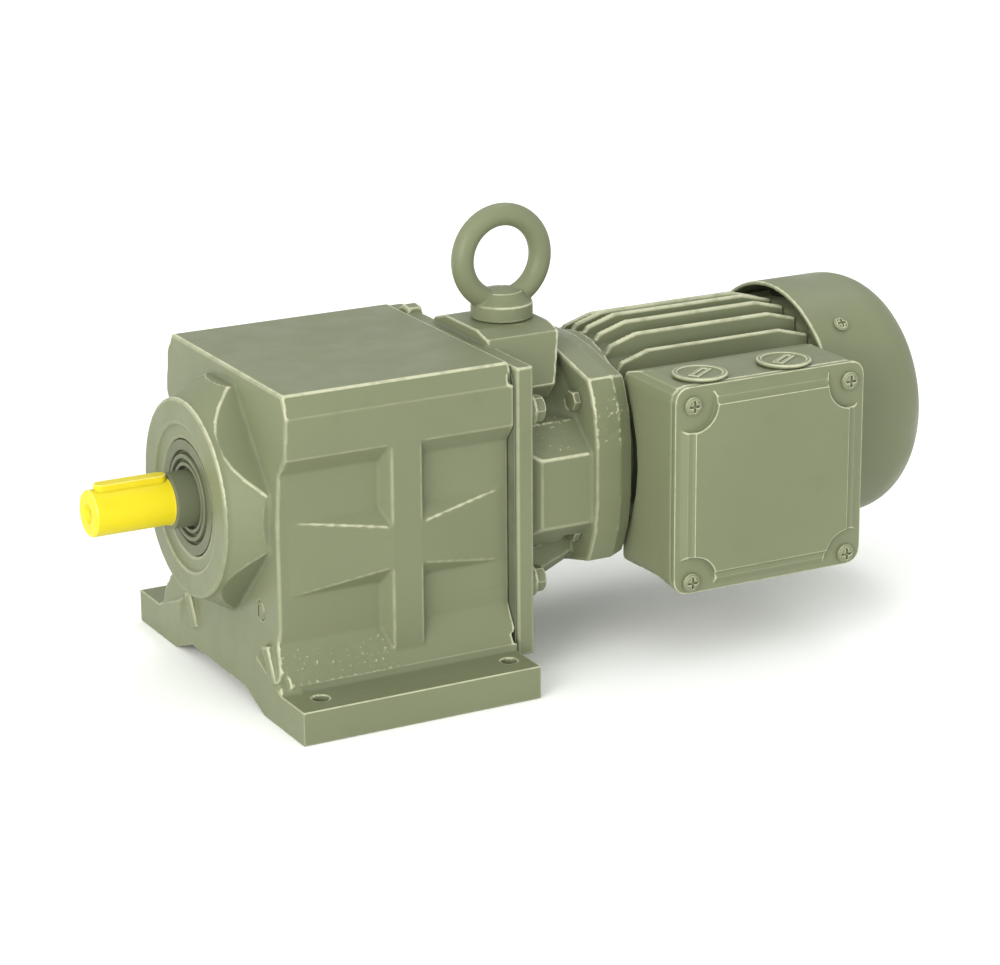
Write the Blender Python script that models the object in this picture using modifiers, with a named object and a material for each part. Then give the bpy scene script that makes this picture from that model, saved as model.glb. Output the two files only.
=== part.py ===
"""A foot-mounted helical gear motor: a two-stage coaxial gearbox, its motor adaptor and a fin-cooled motor.

Frame: +Z up. The origin is on the foot's underside, in the middle of the four foot holes.
The output shaft points along -X and the motor lies along +X on the same axis.
The terminal box is on the -Y side.
"""

import math

import bmesh
import bpy
from mathutils import Matrix, Vector

MM = 0.001
GAP = 0.3 * MM
SMOOTH_ANGLE = math.radians(35)

# Main axes
SHAFT_HEIGHT = 105 * MM
CENTRE_DISTANCE = 45 * MM
MAIN_AXIS = Vector((0, 0, SHAFT_HEIGHT))
LAY_AXIS = Vector((0, 0, SHAFT_HEIGHT - CENTRE_DISTANCE))

# Foot
FOOT_FRONT = -72 * MM
FOOT_REAR = 66 * MM
FOOT_HALF_WIDTH = 108 * MM
FOOT_THICKNESS = 18 * MM
FOOT_HOLE_X = 55 * MM
FOOT_HOLE_Y = 92.5 * MM
FOOT_HOLE_RADIUS = 4.5 * MM
RELIEF_HEIGHT = 9 * MM
RELIEF_WEB = 9 * MM

# Gear housing
WALL_FRONT = -66.6 * MM
BODY_REAR = 68 * MM
BODY_HALF_WIDTH = 76 * MM
BODY_TOP = 174.5 * MM
POCKET_FLOOR = 69 * MM
RIB_FRONT = -4 * MM
RIB_REAR = 13.5 * MM
CAVITY_FRONT = -55 * MM
HUB_FACE = -88 * MM
HUB_RADIUS = 53.6 * MM
FLANGE_BOLT_Y = 64 * MM
FLANGE_BOLT_HEIGHTS = (50 * MM, 145 * MM)

# Output shaft
SHAFT_END = -142 * MM
SHOULDER = -97.5 * MM
SHAFT_RADIUS = 12.5 * MM
SEAL_SEAT_RADIUS = 15 * MM
KEY_WIDTH = 8 * MM
KEY_HEIGHT = 7 * MM
KEY_LENGTH = 40 * MM
KEYWAY_DEPTH = 4 * MM
KEY_SETBACK = 0.5 * MM

# Gears: teeth, face widths and the middle of each mesh along X
MODULE = 1.5 * MM
PRESSURE_ANGLE = math.radians(25)
HELIX_ANGLE = math.radians(10)
BACKLASH = 0.4 * MM
MOTOR_PINION_TEETH = 18
LAY_WHEEL_TEETH = 42
LAY_PINION_TEETH = 13
OUTPUT_WHEEL_TEETH = 47
FIRST_MESH_X = 19 * MM
SECOND_MESH_X = -15 * MM
FIRST_FACE = 18 * MM
SECOND_FACE = 22 * MM
PINION_EXTRA = 3 * MM

# Adaptor
PLATE_FRONT = 69.4 * MM
PLATE_REAR = 79.4 * MM
ADAPTOR_FLANGE_FRONT = 119 * MM
ADAPTOR_REAR = 143 * MM
MOTOR_BOLT_Y = 52 * MM
MOTOR_BOLT_Z = 37 * MM
EYE_X = 102 * MM
EYE_SEAT = 178.5 * MM

# Motor
FRAME_FRONT = 143.3 * MM
FRAME_REAR = 276 * MM
FRAME_RADIUS = 55 * MM
FRAME_BORE = 50.4 * MM
FRONT_RING_RADIUS = 58.5 * MM
FIN_RADIUS = 66.3 * MM
FIN_PITCH = 12.5 * MM
FIN_THICKNESS = 3.2 * MM
CORE_FRONT = 176 * MM
CORE_REAR = 246 * MM
ROTOR_RADIUS = 33 * MM
COWL_FRONT = 274.5 * MM
COWL_REAR = 345 * MM
COWL_RADIUS = 70 * MM
COWL_WALL = 2.2 * MM
COWL_BEND = 28 * MM
COWL_SCREW_X = 293.5 * MM
COWL_SCREW_ANGLE = math.radians(40)

# Terminal box
BOX_LEFT = 145.5 * MM
BOX_RIGHT = 264.5 * MM
BOX_BOTTOM = 43.5 * MM
BOX_TOP = 158.5 * MM
BOX_MOUTH = -106 * MM
BOX_CORNER = 8 * MM
BOX_WALL = 5 * MM
COVER_BACK = -107.6 * MM
COVER_EDGE = -110.6 * MM
COVER_FACE = -114 * MM
COVER_SCREW_X = (155.8 * MM, 254.6 * MM)
COVER_SCREW_HEIGHTS = (50 * MM, 148.1 * MM)
ENTRY_X = (170.5 * MM, 223.5 * MM)
ENTRY_Y = -94 * MM

COLOURS = {
    "paint": ((0.27, 0.29, 0.18), 0.42, 0.0),
    "shaft_paint": ((0.95, 0.78, 0.02), 0.35, 0.0),
    "steel": ((0.52, 0.53, 0.55), 0.32, 1.0),
    "dark_steel": ((0.16, 0.16, 0.17), 0.45, 1.0),
    "rubber": ((0.04, 0.04, 0.04), 0.7, 0.0),
    "gasket": ((0.08, 0.1, 0.09), 0.8, 0.0),
    "copper": ((0.75, 0.33, 0.14), 0.35, 1.0),
    "plastic": ((0.06, 0.06, 0.06), 0.5, 0.0),
    "brass": ((0.78, 0.6, 0.24), 0.3, 1.0),
}


def clear_scene():
    for old in list(bpy.data.objects):
        bpy.data.objects.remove(old, do_unlink=True)


def new_collection(name):
    collection = bpy.data.collections.new(name)
    bpy.context.scene.collection.children.link(collection)
    return collection


clear_scene()
PARTS = new_collection("gear_motor")
TOOLS = new_collection("cutters")


def material_for(node, finish):
    """Each sub-part has its own material, with one of the finishes above."""
    colour, roughness, metallic = COLOURS[finish]
    made = bpy.data.materials.new(node)
    made.use_nodes = True
    shader = made.node_tree.nodes["Principled BSDF"]
    shader.inputs["Base Color"].default_value = (*colour, 1)
    shader.inputs["Roughness"].default_value = roughness
    shader.inputs["Metallic"].default_value = metallic
    return made


def axis_empty(name, point):
    empty = bpy.data.objects.new(name, None)
    empty.location = point
    PARTS.objects.link(empty)
    return empty


def part(name, mesh, finish, location=(0, 0, 0), parent=None):
    """A node. Its location is given in the world, also when it has a parent empty."""
    made = bpy.data.objects.new(name, mesh.copy() if mesh.users else mesh)
    made.data.materials.append(material_for(name, finish))
    made.location = Vector(location) - (parent.location if parent else Vector())
    made.parent = parent
    PARTS.objects.link(made)
    return made


def tool(name, mesh, location=(0, 0, 0)):
    """A helper that a Boolean uses and that isn't shown."""
    made = bpy.data.objects.new(name, mesh)
    made.location = location
    made.hide_render = True
    made.display_type = "WIRE"
    TOOLS.objects.link(made)
    return made


def boolean(target, operation, helper):
    modifier = target.modifiers.new(f"{operation.lower()} {helper.name}"[:60], "BOOLEAN")
    modifier.operation = operation
    modifier.object = helper
    modifier.solver = "EXACT"


def add(target, name, mesh, location=(0, 0, 0)):
    boolean(target, "UNION", tool(name, mesh, location))


def cut(target, name, mesh, location=(0, 0, 0)):
    boolean(target, "DIFFERENCE", tool(name, mesh, location))


def mesh_from(bm, name, smooth=False):
    mesh = bpy.data.meshes.new(name)
    bm.to_mesh(mesh)
    bm.free()
    if smooth:
        mesh.shade_smooth()
        mesh.set_sharp_from_angle(angle=SMOOTH_ANGLE)
    return mesh


def box(low, high):
    bm = bmesh.new()
    bmesh.ops.create_cube(bm, size=1)
    low, high = Vector(low), Vector(high)
    for vert in bm.verts:
        vert.co = (low + high) / 2 + vert.co * (high - low)
    return mesh_from(bm, "box")


AXIS_TURN = {
    "X": Matrix.Rotation(math.pi / 2, 4, "Y"),
    "Y": Matrix.Rotation(-math.pi / 2, 4, "X"),
    "Z": Matrix.Identity(4),
}


def rod(radius, start, end, axis="X", segments=24, end_radius=None):
    """A cylinder or a cone from start to end along one axis, centred on the other two."""
    bm = bmesh.new()
    bmesh.ops.create_cone(
        bm,
        cap_ends=True,
        segments=segments,
        radius1=radius,
        radius2=radius if end_radius is None else end_radius,
        depth=end - start,
        matrix=AXIS_TURN[axis] @ Matrix.Translation((0, 0, (start + end) / 2)),
    )
    return mesh_from(bm, "rod", smooth=True)


def hull(points):
    bm = bmesh.new()
    for point in points:
        bm.verts.new(point)
    made = bmesh.ops.convex_hull(bm, input=bm.verts)
    bmesh.ops.delete(bm, geom=list(set(made["geom_interior"] + made["geom_unused"])), context="VERTS")
    bmesh.ops.recalc_face_normals(bm, faces=bm.faces)
    bmesh.ops.dissolve_limit(bm, angle_limit=math.radians(0.5), verts=bm.verts, edges=bm.edges)
    return mesh_from(bm, "hull")


PLANES = {
    "YZ": Matrix(((0, 0, 1, 0), (1, 0, 0, 0), (0, 1, 0, 0), (0, 0, 0, 1))),
    "XZ": Matrix(((1, 0, 0, 0), (0, 0, -1, 0), (0, 1, 0, 0), (0, 0, 0, 1))),
    "XY": Matrix.Identity(4),
}


def slab(outline, start, end, plane="YZ"):
    """A flat outline, drawn in a plane, made solid from start to end along the plane's normal axis."""
    curve = bpy.data.curves.new("slab", "CURVE")
    curve.dimensions = "2D"
    curve.fill_mode = "BOTH"
    curve.extrude = (end - start) / 2
    spline = curve.splines.new("POLY")
    spline.points.add(len(outline) - 1)
    for point, (u, v) in zip(spline.points, outline):
        point.co = (u, v, 0, 1)
    spline.use_cyclic_u = True
    drawn = bpy.data.objects.new("slab", curve)
    TOOLS.objects.link(drawn)
    bpy.context.view_layer.update()
    mesh = bpy.data.meshes.new_from_object(drawn.evaluated_get(bpy.context.evaluated_depsgraph_get()))
    bpy.data.objects.remove(drawn)
    bm = bmesh.new()
    bm.from_mesh(mesh)
    bmesh.ops.remove_doubles(bm, verts=bm.verts, dist=0.001 * MM)
    bmesh.ops.recalc_face_normals(bm, faces=bm.faces)
    middle = (start + end) / 2
    normal = PLANES[plane].to_3x3() @ Vector((0, 0, 1))
    sign = sum(normal)
    bm.transform(Matrix.Translation(normal * sign * middle) @ PLANES[plane])
    return mesh_from(bm, "slab")


def profile_area(points):
    """Twice the signed area of a closed profile: its sign gives the direction the profile runs in."""
    following = points[1:] + points[:1]
    return sum(a[0] * b[1] - b[0] * a[1] for a, b in zip(points, following))


def spin(target, segments):
    modifier = target.modifiers.new("Turned", "SCREW")
    modifier.axis = "X"
    modifier.steps = segments
    modifier.render_steps = segments
    modifier.use_merge_vertices = True
    modifier.merge_threshold = 0.001 * MM


def profile_mesh(points):
    """The wire that a Screw modifier turns about X, from (x, radius): a ring if no point is on the axis."""
    if profile_area(points) < 0:
        points = points[::-1]
    on_axis = [index for index, point in enumerate(points) if point[1] == 0]
    if on_axis:
        first = on_axis[0] if on_axis[-1] - on_axis[0] != 1 else on_axis[-1]
        points = points[first:] + points[:first]
    bm = bmesh.new()
    verts = [bm.verts.new((x, radius, 0)) for x, radius in points]
    for a, b in zip(verts, verts[1:] + verts[:1]):
        if a.co.y or b.co.y:
            bm.edges.new((a, b))
    return mesh_from(bm, "profile")


def turned(name, points, finish, location, segments=32, parent=None):
    made = part(name, profile_mesh(points), finish, location, parent)
    spin(made, segments)
    return made


def turned_tool(name, points, location, segments=32):
    made = tool(name, profile_mesh(points), location)
    spin(made, segments)
    return made


def in_metres(points):
    return [(u * MM, v * MM) for u, v in points]


def ring_points(x0, x1, inner, outer):
    return [(x0, inner), (x0, outer), (x1, outer), (x1, inner)]


def circle(radius, count, start=0.0):
    return [
        (radius * math.cos(start + math.tau * i / count), radius * math.sin(start + math.tau * i / count))
        for i in range(count)
    ]


def four_corners(y, z):
    return [(sy * y, sz * z) for sy in (-1, 1) for sz in (-1, 1)]


# ---------------------------------------------------------------- gear housing


def flange_bolt_places():
    """Where the four bolts hold the adaptor plate on the housing, by name."""
    return {
        f"{level}_{side_name}": (0, side * FLANGE_BOLT_Y, z)
        for side_name, side in (("near", -1), ("far", 1))
        for level, z in zip(("lower", "upper"), FLANGE_BOLT_HEIGHTS)
    }


def motor_bolt_places():
    """Where the four bolts hold the motor on the adaptor, by name."""
    return {
        f"{level}_{side_name}": (0, side * MOTOR_BOLT_Y, SHAFT_HEIGHT + up * MOTOR_BOLT_Z)
        for side_name, side in (("near", -1), ("far", 1))
        for level, up in (("lower", -1), ("upper", 1))
    }


def hub_transition():
    """The skin between the round hub and the front wall: a cone inside an octagonal prism."""
    half_flat, octagon_radius = 15 * MM, 61.5 * MM
    cone = [(-86.5, 0), (-86.5, 52.8), (-67.5, 63.3), (-57, 63.3), (-57, 0)]
    skin = turned_tool("hub_cone", in_metres(cone), MAIN_AXIS, 48)
    corners = [(half_flat, octagon_radius), (octagon_radius, half_flat)]
    corners += [(y, -z) for y, z in corners[::-1]]
    corners += [(-y, z) for y, z in corners[::-1]]
    outline = [(y, SHAFT_HEIGHT + z) for y, z in corners]
    boolean(skin, "INTERSECT", tool("hub_octagon", slab(outline, -90 * MM, -50 * MM)))
    return skin


def plinth(side):
    """The thickening along the foot of a side wall, with a sloping top."""
    outline = [(side * y * MM, z * MM) for y, z in ((70, 5), (76, 28), (80.3, 21.3), (81, 5))]
    return slab(outline, -66 * MM, 67 * MM)


def side_pocket(side, rib_edge, open_end):
    """A shallow pocket with sloping walls, open towards one end of the housing."""
    lean = 4.5 * MM if open_end < rib_edge else -4.5 * MM
    points = []
    for depth, reach in ((POCKET_FLOOR, 0.0), (BODY_HALF_WIDTH + 4 * MM, 11 / 7)):
        low = (41 - 12.5 * reach) * MM
        top = (132 + 9.5 * reach) * MM
        rib = rib_edge - lean * (1 - reach)
        points += [(x, side * depth, z) for x in (rib, open_end) for z in (low, top)]
    return hull(points)


def wedge_ridge(side, rib_edge, tip):
    """The ridge between two pockets: full height at the rib, level with the floor at its tip."""
    buried = POCKET_FLOOR - 2 * MM
    points = [
        (x, side * y, z * MM)
        for x in (rib_edge, tip)
        for y in (buried, POCKET_FLOOR)
        for z in (66, 106.5)
    ]
    points += [(rib_edge, side * BODY_HALF_WIDTH, z * MM) for z in (75, 97)]
    return hull(points)


def cavity():
    outline = [(52, 24), (52, 62), (61, 76), (61, 134), (53, 146), (53, 165)]
    outline += [(-y, z) for y, z in outline[::-1]]
    return slab(in_metres(outline), CAVITY_FRONT, BODY_REAR + 5 * MM)


def gear_housing():
    """One casting: foot, walls, hub, inner bearing bosses, with its pockets, bores and bolt holes."""
    side_outline = [(FOOT_FRONT, 0), (BODY_REAR, 0), (BODY_REAR, BODY_TOP)]
    side_outline += [(WALL_FRONT + 4 * MM, BODY_TOP), (WALL_FRONT, SHAFT_HEIGHT)]
    side_outline += [(WALL_FRONT, 48 * MM), (FOOT_FRONT, 17 * MM)]
    shoulder = BODY_TOP - 11.2 * MM
    narrow = BODY_HALF_WIDTH - 5.6 * MM
    end_outline = [(-BODY_HALF_WIDTH, 0), (BODY_HALF_WIDTH, 0), (BODY_HALF_WIDTH, shoulder)]
    end_outline += [(narrow, BODY_TOP), (-narrow, BODY_TOP), (-BODY_HALF_WIDTH, shoulder)]
    wide = 90 * MM
    housing = part("gear_housing", slab(side_outline, -wide, wide, "XZ"), "paint")
    boolean(housing, "INTERSECT", tool("housing_end_shape", slab(end_outline, -wide, wide)))
    for side in (-1, 1):
        cut(housing, "front_pocket", side_pocket(side, RIB_FRONT, FOOT_FRONT - 8 * MM))
        cut(housing, "rear_pocket", side_pocket(side, RIB_REAR, BODY_REAR + 8 * MM))
        add(housing, "front_ridge", wedge_ridge(side, RIB_FRONT + 1 * MM, -60.5 * MM))
        add(housing, "rear_ridge", wedge_ridge(side, RIB_REAR - 1 * MM, 65 * MM))
    low = (FOOT_FRONT, -FOOT_HALF_WIDTH, 0)
    add(housing, "foot", box(low, (FOOT_REAR, FOOT_HALF_WIDTH, FOOT_THICKNESS)))
    for side in (-1, 1):
        skirt = [(FOOT_FRONT, side * y * MM, z * MM) for y, z in ((50, 1), (50, 30), (82, 17.5), (82, 1))]
        skirt += [(-60 * MM, side * y * MM, z * MM) for y, z in ((50, 1), (50, 42), (84, 17.5), (84, 1))]
        add(housing, "skirt", hull(skirt))
        add(housing, "plinth", plinth(side))
    cut(housing, "cavity", cavity())
    boolean(housing, "UNION", hub_transition())
    add(housing, "hub", rod(HUB_RADIUS, HUB_FACE, CAVITY_FRONT, segments=36), MAIN_AXIS)
    add(housing, "bearing_boss", rod(31.5 * MM, CAVITY_FRONT - 3 * MM, -30 * MM, segments=24), MAIN_AXIS)
    add(housing, "lay_boss", rod(19 * MM, -62 * MM, -51 * MM, segments=18), LAY_AXIS)
    bores = [(-90, 0), (-90, 39), (-86, 39), (-86, 31.6), (-63, 31.6), (-63, 23), (-46, 23), (-46, 26.6)]
    bores += [(-25, 26.6), (-25, 0)]
    boolean(housing, "DIFFERENCE", turned_tool("main_bores", in_metres(bores), MAIN_AXIS, 24))
    lay = [(-64, 0), (-64, 9), (-62, 9), (-62, 16.5), (-45, 16.5), (-45, 0)]
    boolean(housing, "DIFFERENCE", turned_tool("lay_bore", in_metres(lay), LAY_AXIS, 18))
    relief = [(58, -2), (58, 0), (34, RELIEF_HEIGHT / MM), (-34, RELIEF_HEIGHT / MM), (-58, 0), (-58, -2)]
    cut(housing, "front_relief", slab(in_metres(relief), FOOT_FRONT - 5 * MM, -RELIEF_WEB))
    cut(housing, "rear_relief", slab(in_metres(relief), RELIEF_WEB, BODY_REAR + 5 * MM))
    for x, y in four_corners(FOOT_HOLE_X, FOOT_HOLE_Y):
        cut(housing, "foot_hole", rod(FOOT_HOLE_RADIUS, -1 * MM, 20 * MM, "Z", 14), (x, y, 0))
    for place in flange_bolt_places().values():
        cut(housing, "bolt_hole", rod(4.3 * MM, 48 * MM, 70 * MM, segments=8), place)
    cut(housing, "plug_hole", rod(5.3 * MM, -75 * MM, -50 * MM, segments=12), (0, -46 * MM, 53 * MM))
    for side in (-1, 1):
        for z0, z1 in ((163.5, 173), (17, 27)):
            low = (65.5 * MM, min(side * 72.5 * MM, side * 80 * MM), z0 * MM)
            high = (69 * MM, max(side * 72.5 * MM, side * 80 * MM), z1 * MM)
            cut(housing, "pry_slot", box(low, high))


def level_plug():
    """A screw plug with a hexagon socket, low on the front wall."""
    centre = (0, -46 * MM, 53 * MM)
    plug = part("level_plug", rod(5 * MM, -67.8 * MM, -57 * MM, segments=12), "paint", centre)
    cut(plug, "plug_socket", rod(2.9 * MM, -69 * MM, -63.5 * MM, segments=6), centre)


# ---------------------------------------------------------------- bearings and seals


def ball_bearing(name, centre_x, axis, sizes, parent):
    """An outer ring in its housing, and an inner ring that carries the row of balls on its shaft."""
    bore, outside, width = (value * MM for value in sizes)
    middle = (bore + outside) / 2
    ball = (outside - bore) * 0.27
    half = width / 2
    place = Vector((centre_x, 0, 0)) + axis
    outer = ring_points(-half, half, middle + ball + 1 * MM, outside)
    turned(name + "_outer_ring", outer, "steel", place, 16)
    inner = ring_points(-half, half, bore, middle - ball * 0.5)
    ring = turned(name + "_inner_ring", inner, "steel", place, 14, parent)
    bm = bmesh.new()
    for y, z in circle(middle, 5, 0.1):
        matrix = Matrix.Translation((0, y, z))
        bmesh.ops.create_icosphere(bm, subdivisions=1, radius=ball, matrix=matrix)
    boolean(ring, "UNION", tool(name + "_balls", mesh_from(bm, "balls", smooth=True), place))


def shaft_seal(name, start, end, axis, inner, outer):
    """A lip seal: a stiff outer ring, a web and a lip that points inwards."""
    wall = 2.2 * MM
    lip = inner + 0.25 * MM
    points = [(start, lip + 4 * MM), (start, outer), (end, outer), (end, outer - wall)]
    points += [(start + wall, outer - wall), (start + wall, lip + 5 * MM)]
    points += [(end - wall, lip), (start + 1 * MM, lip)]
    turned(name, points, "rubber", axis, 18)


# ---------------------------------------------------------------- gears and shafts


def tooth_half_angle(teeth, radius):
    """Half the angle that an involute tooth takes at a radius, less the backlash."""
    pitch = teeth * MODULE / 2
    base = pitch * math.cos(PRESSURE_ANGLE)

    def involute(r):
        angle = math.acos(min(1.0, base / r))
        return math.tan(angle) - angle

    at_pitch = (math.pi * MODULE / 2 - BACKLASH) / (2 * pitch)
    return at_pitch + involute(pitch) - involute(max(radius, base))


def gear(teeth, width, hand, phase):
    """Helical teeth about X, centred on x = 0. In the middle plane one tooth is at the phase angle."""
    pitch = teeth * MODULE / 2
    tip, root = pitch + 0.95 * MODULE, pitch - 1.25 * MODULE
    twist = hand * math.tan(HELIX_ANGLE) * width / pitch
    bm = bmesh.new()
    outline = []
    for tooth in range(teeth):
        middle = phase - twist / 2 + math.tau * tooth / teeth
        for radius, side in ((root, -1), (tip, -1), (tip, 1), (root, 1)):
            angle = middle + side * tooth_half_angle(teeth, radius)
            outline.append(bm.verts.new((-width / 2, radius * math.cos(angle), radius * math.sin(angle))))
    face = bm.faces.new(outline)
    made = bmesh.ops.extrude_face_region(bm, geom=[face])
    moved = [item for item in made["geom"] if isinstance(item, bmesh.types.BMVert)]
    bmesh.ops.translate(bm, verts=moved, vec=(width, 0, 0))
    bmesh.ops.rotate(bm, verts=moved, cent=(0, 0, 0), matrix=Matrix.Rotation(twist, 3, "X"))
    bmesh.ops.triangulate(bm, faces=[f for f in bm.faces if len(f.verts) == 4])
    bmesh.ops.recalc_face_normals(bm, faces=bm.faces)
    return mesh_from(bm, "gear")


def gap_phase(teeth, angle):
    """The phase that puts a gap between two teeth at an angle."""
    return angle + math.pi / teeth


UP = math.pi / 2
DOWN = -math.pi / 2


def stadium(length, width, segments=4):
    """A rounded-end key outline, centred on the origin."""
    points = []
    for end in (1, -1):
        for i in range(segments + 1):
            angle = -math.pi / 2 + math.pi * i / segments
            x = (length - width) / 2 + width / 2 * math.cos(angle)
            points.append((end * x, end * width / 2 * math.sin(angle)))
    return points


def key_blank(length, bottom, top, clearance=0.0):
    outline = stadium(length + 2 * clearance, KEY_WIDTH + 2 * clearance)
    return slab(outline, bottom - clearance, top, "XY")


def output_shaft(body):
    chamfer = 1.1 * MM
    steps = [(SHAFT_END, 0), (SHAFT_END, SHAFT_RADIUS - chamfer), (SHAFT_END + chamfer, SHAFT_RADIUS)]
    steps += [(SHOULDER, SHAFT_RADIUS), (SHOULDER, SEAL_SEAT_RADIUS)]
    inner = [(-63, 15), (-63, 17.5), (-58, 17.5), (-58, 14), (-46, 14), (-46, 12.5)]
    inner += [(-30.5, 12.5), (-30.5, 12), (-3, 12), (-3, 0)]
    shaft = turned("output_shaft", steps + in_metres(inner), "shaft_paint", MAIN_AXIS, 32, body)
    drill = [(-143, 0), (-143, 5.6), (-139.6, 3.4), (-130, 3.4), (-128, 0)]
    boolean(shaft, "DIFFERENCE", turned_tool("centre_hole", in_metres(drill), MAIN_AXIS, 14))
    key_x = SHOULDER - KEY_SETBACK - KEY_LENGTH / 2
    bottom = SHAFT_RADIUS - KEYWAY_DEPTH
    place = MAIN_AXIS + Vector((key_x, 0, 0))
    cut(shaft, "keyway", key_blank(KEY_LENGTH, bottom, 20 * MM, 0.15 * MM), place)
    part("output_key", key_blank(KEY_LENGTH, bottom, bottom + KEY_HEIGHT), "shaft_paint", place, body)
    wheel_key_length = SECOND_FACE - 2 * MM
    place = MAIN_AXIS + Vector((SECOND_MESH_X, 0, 0))
    seat_bottom = bottom - 0.5 * MM
    cut(shaft, "wheel_keyway", key_blank(wheel_key_length, seat_bottom, 20 * MM, 0.15 * MM), place)
    key = key_blank(wheel_key_length, seat_bottom, seat_bottom + KEY_HEIGHT)
    part("wheel_key", key, "steel", place, body)


def output_wheel(body):
    place = MAIN_AXIS + Vector((SECOND_MESH_X, 0, 0))
    teeth = gear(OUTPUT_WHEEL_TEETH, SECOND_FACE, 1, gap_phase(OUTPUT_WHEEL_TEETH, DOWN))
    wheel = part("output_wheel", teeth, "steel", place, body)
    cut(wheel, "wheel_bore", rod(12.3 * MM, -20 * MM, 20 * MM, segments=18), place)
    slot_half = KEY_WIDTH / 2 + 0.2 * MM
    cut(wheel, "wheel_slot", box((-20 * MM, -slot_half, 0), (20 * MM, slot_half, 15.3 * MM)), place)
    half = SECOND_FACE / 2
    for side in (-1, 1):
        x0, x1 = sorted((side * (half - 5 * MM), side * (half + 2 * MM)))
        dish = ring_points(x0, x1, 18 * MM, 29.5 * MM)
        boolean(wheel, "DIFFERENCE", turned_tool("wheel_dish", dish, place, 18))


def lay_shaft(body):
    """The intermediate shaft with its pinion cut from the same bar, and the wheel that the motor drives."""
    steps = [(-62.5, 0), (-62.5, 7.5), (-52.5, 7.5), (-52.5, 9), (-29, 9), (-29, 7.4), (-1, 7.4), (-1, 9)]
    steps += [(7, 9), (7, 11.5), (9.6, 11.5), (9.6, 9), (68, 9), (68, 7.5), (78, 7.5), (78, 0)]
    shaft = turned("intermediate_shaft", in_metres(steps), "steel", LAY_AXIS, 18, body)
    pinion = gear(LAY_PINION_TEETH, SECOND_FACE + PINION_EXTRA, -1, UP)
    add(shaft, "lay_pinion", pinion, LAY_AXIS + Vector((SECOND_MESH_X, 0, 0)))
    place = LAY_AXIS + Vector((FIRST_MESH_X, 0, 0))
    teeth = gear(LAY_WHEEL_TEETH, FIRST_FACE, 1, gap_phase(LAY_WHEEL_TEETH, UP))
    wheel = part("intermediate_wheel", teeth, "steel", place, body)
    cut(wheel, "lay_wheel_bore", rod(9.3 * MM, -20 * MM, 20 * MM, segments=18), place)


def rotor_shaft(body):
    steps = [(9, 0), (9, 7.5), (30, 7.5), (30, 9.5), (66, 9.5), (66, 10), (138, 10), (138, 12.5)]
    steps += [(262, 12.5), (262, 8.5), (292, 8.5), (292, 7), (324, 7), (324, 0)]
    turned("rotor_shaft", in_metres(steps), "steel", MAIN_AXIS, 20, body)
    place = MAIN_AXIS + Vector((FIRST_MESH_X, 0, 0))
    teeth = gear(MOTOR_PINION_TEETH, FIRST_FACE + PINION_EXTRA, -1, DOWN)
    pinion = part("motor_pinion", teeth, "steel", place, body)
    cut(pinion, "motor_pinion_bore", rod(7.8 * MM, -20 * MM, 20 * MM, segments=18), place)
    core = ring_points(CORE_FRONT, CORE_REAR, 12.8 * MM, ROTOR_RADIUS)
    turned("rotor_core", core, "dark_steel", MAIN_AXIS, 24, body)


def cooling_fan(body):
    hub = [(298, 7.3), (298, 16), (300.5, 48), (303, 48), (303, 17), (318, 15), (318, 7.3)]
    fan = turned("cooling_fan", in_metres(hub), "plastic", MAIN_AXIS, 20, body)
    for i in range(8):
        blade = box((302 * MM, -1.25 * MM, 14 * MM), (322 * MM, 1.25 * MM, 57 * MM))
        blade.transform(Matrix.Rotation(math.tau * i / 8, 4, "X"))
        add(fan, "fan_blade", blade, MAIN_AXIS)
    clip = ring_points(319 * MM, 320.4 * MM, 7.2 * MM, 10.5 * MM)
    turned("fan_clip", clip, "dark_steel", MAIN_AXIS, 20, body)


# ---------------------------------------------------------------- adaptor


def top_ridge():
    """The ridge above the bell: a flat crown over sloping flanks that draw back towards their lower edge."""
    points = []
    for y, z, rear in ((18, 178.5, 121), (30, 175.3, 121), (50, 152, 107.5), (42, 143, 107.5)):
        points += [(x, side * y * MM, z * MM) for side in (-1, 1) for x in (PLATE_REAR - 3 * MM, rear * MM)]
    return hull(points)


def bottom_ridge():
    """The ridge below the bell rises towards the motor, and covers the intermediate bearing."""
    plate_end = [(38, 28), (52, 42), (50, 58), (30, 80)]
    flange_end = [(36, 46.5), (48, 56.5), (46, 66), (30, 80)]
    points = []
    for x, section in ((PLATE_REAR - 3 * MM, plate_end), (ADAPTOR_FLANGE_FRONT + 1 * MM, flange_end)):
        points += [(x, side * y * MM, z * MM) for side in (-1, 1) for y, z in section]
    return hull(points)


def side_band_outline(side):
    points = [(70, 78), (70, 117), (53, 132), (30, 136), (30, 74), (53, 64)]
    return [(side * y * MM, z * MM) for y, z in points]


def motor_flange():
    """The flange that carries the motor: flat above and below, bulging sides and a corner by each bolt."""
    quarter = [(14, 61.5), (30, 59.3), (64, 51), (67, 45), (71.5, 33), (74, 15)]
    points = []
    for x, narrower, lower in ((ADAPTOR_FLANGE_FRONT, 0, 0), (134 * MM, 0, 0), (ADAPTOR_REAR, 3.6, 1.5)):
        for y, z in quarter:
            corners = four_corners((y - narrower) * MM, (z - lower) * MM)
            points += [(x, across, SHAFT_HEIGHT + up) for across, up in corners]
    return hull(points)


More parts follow.
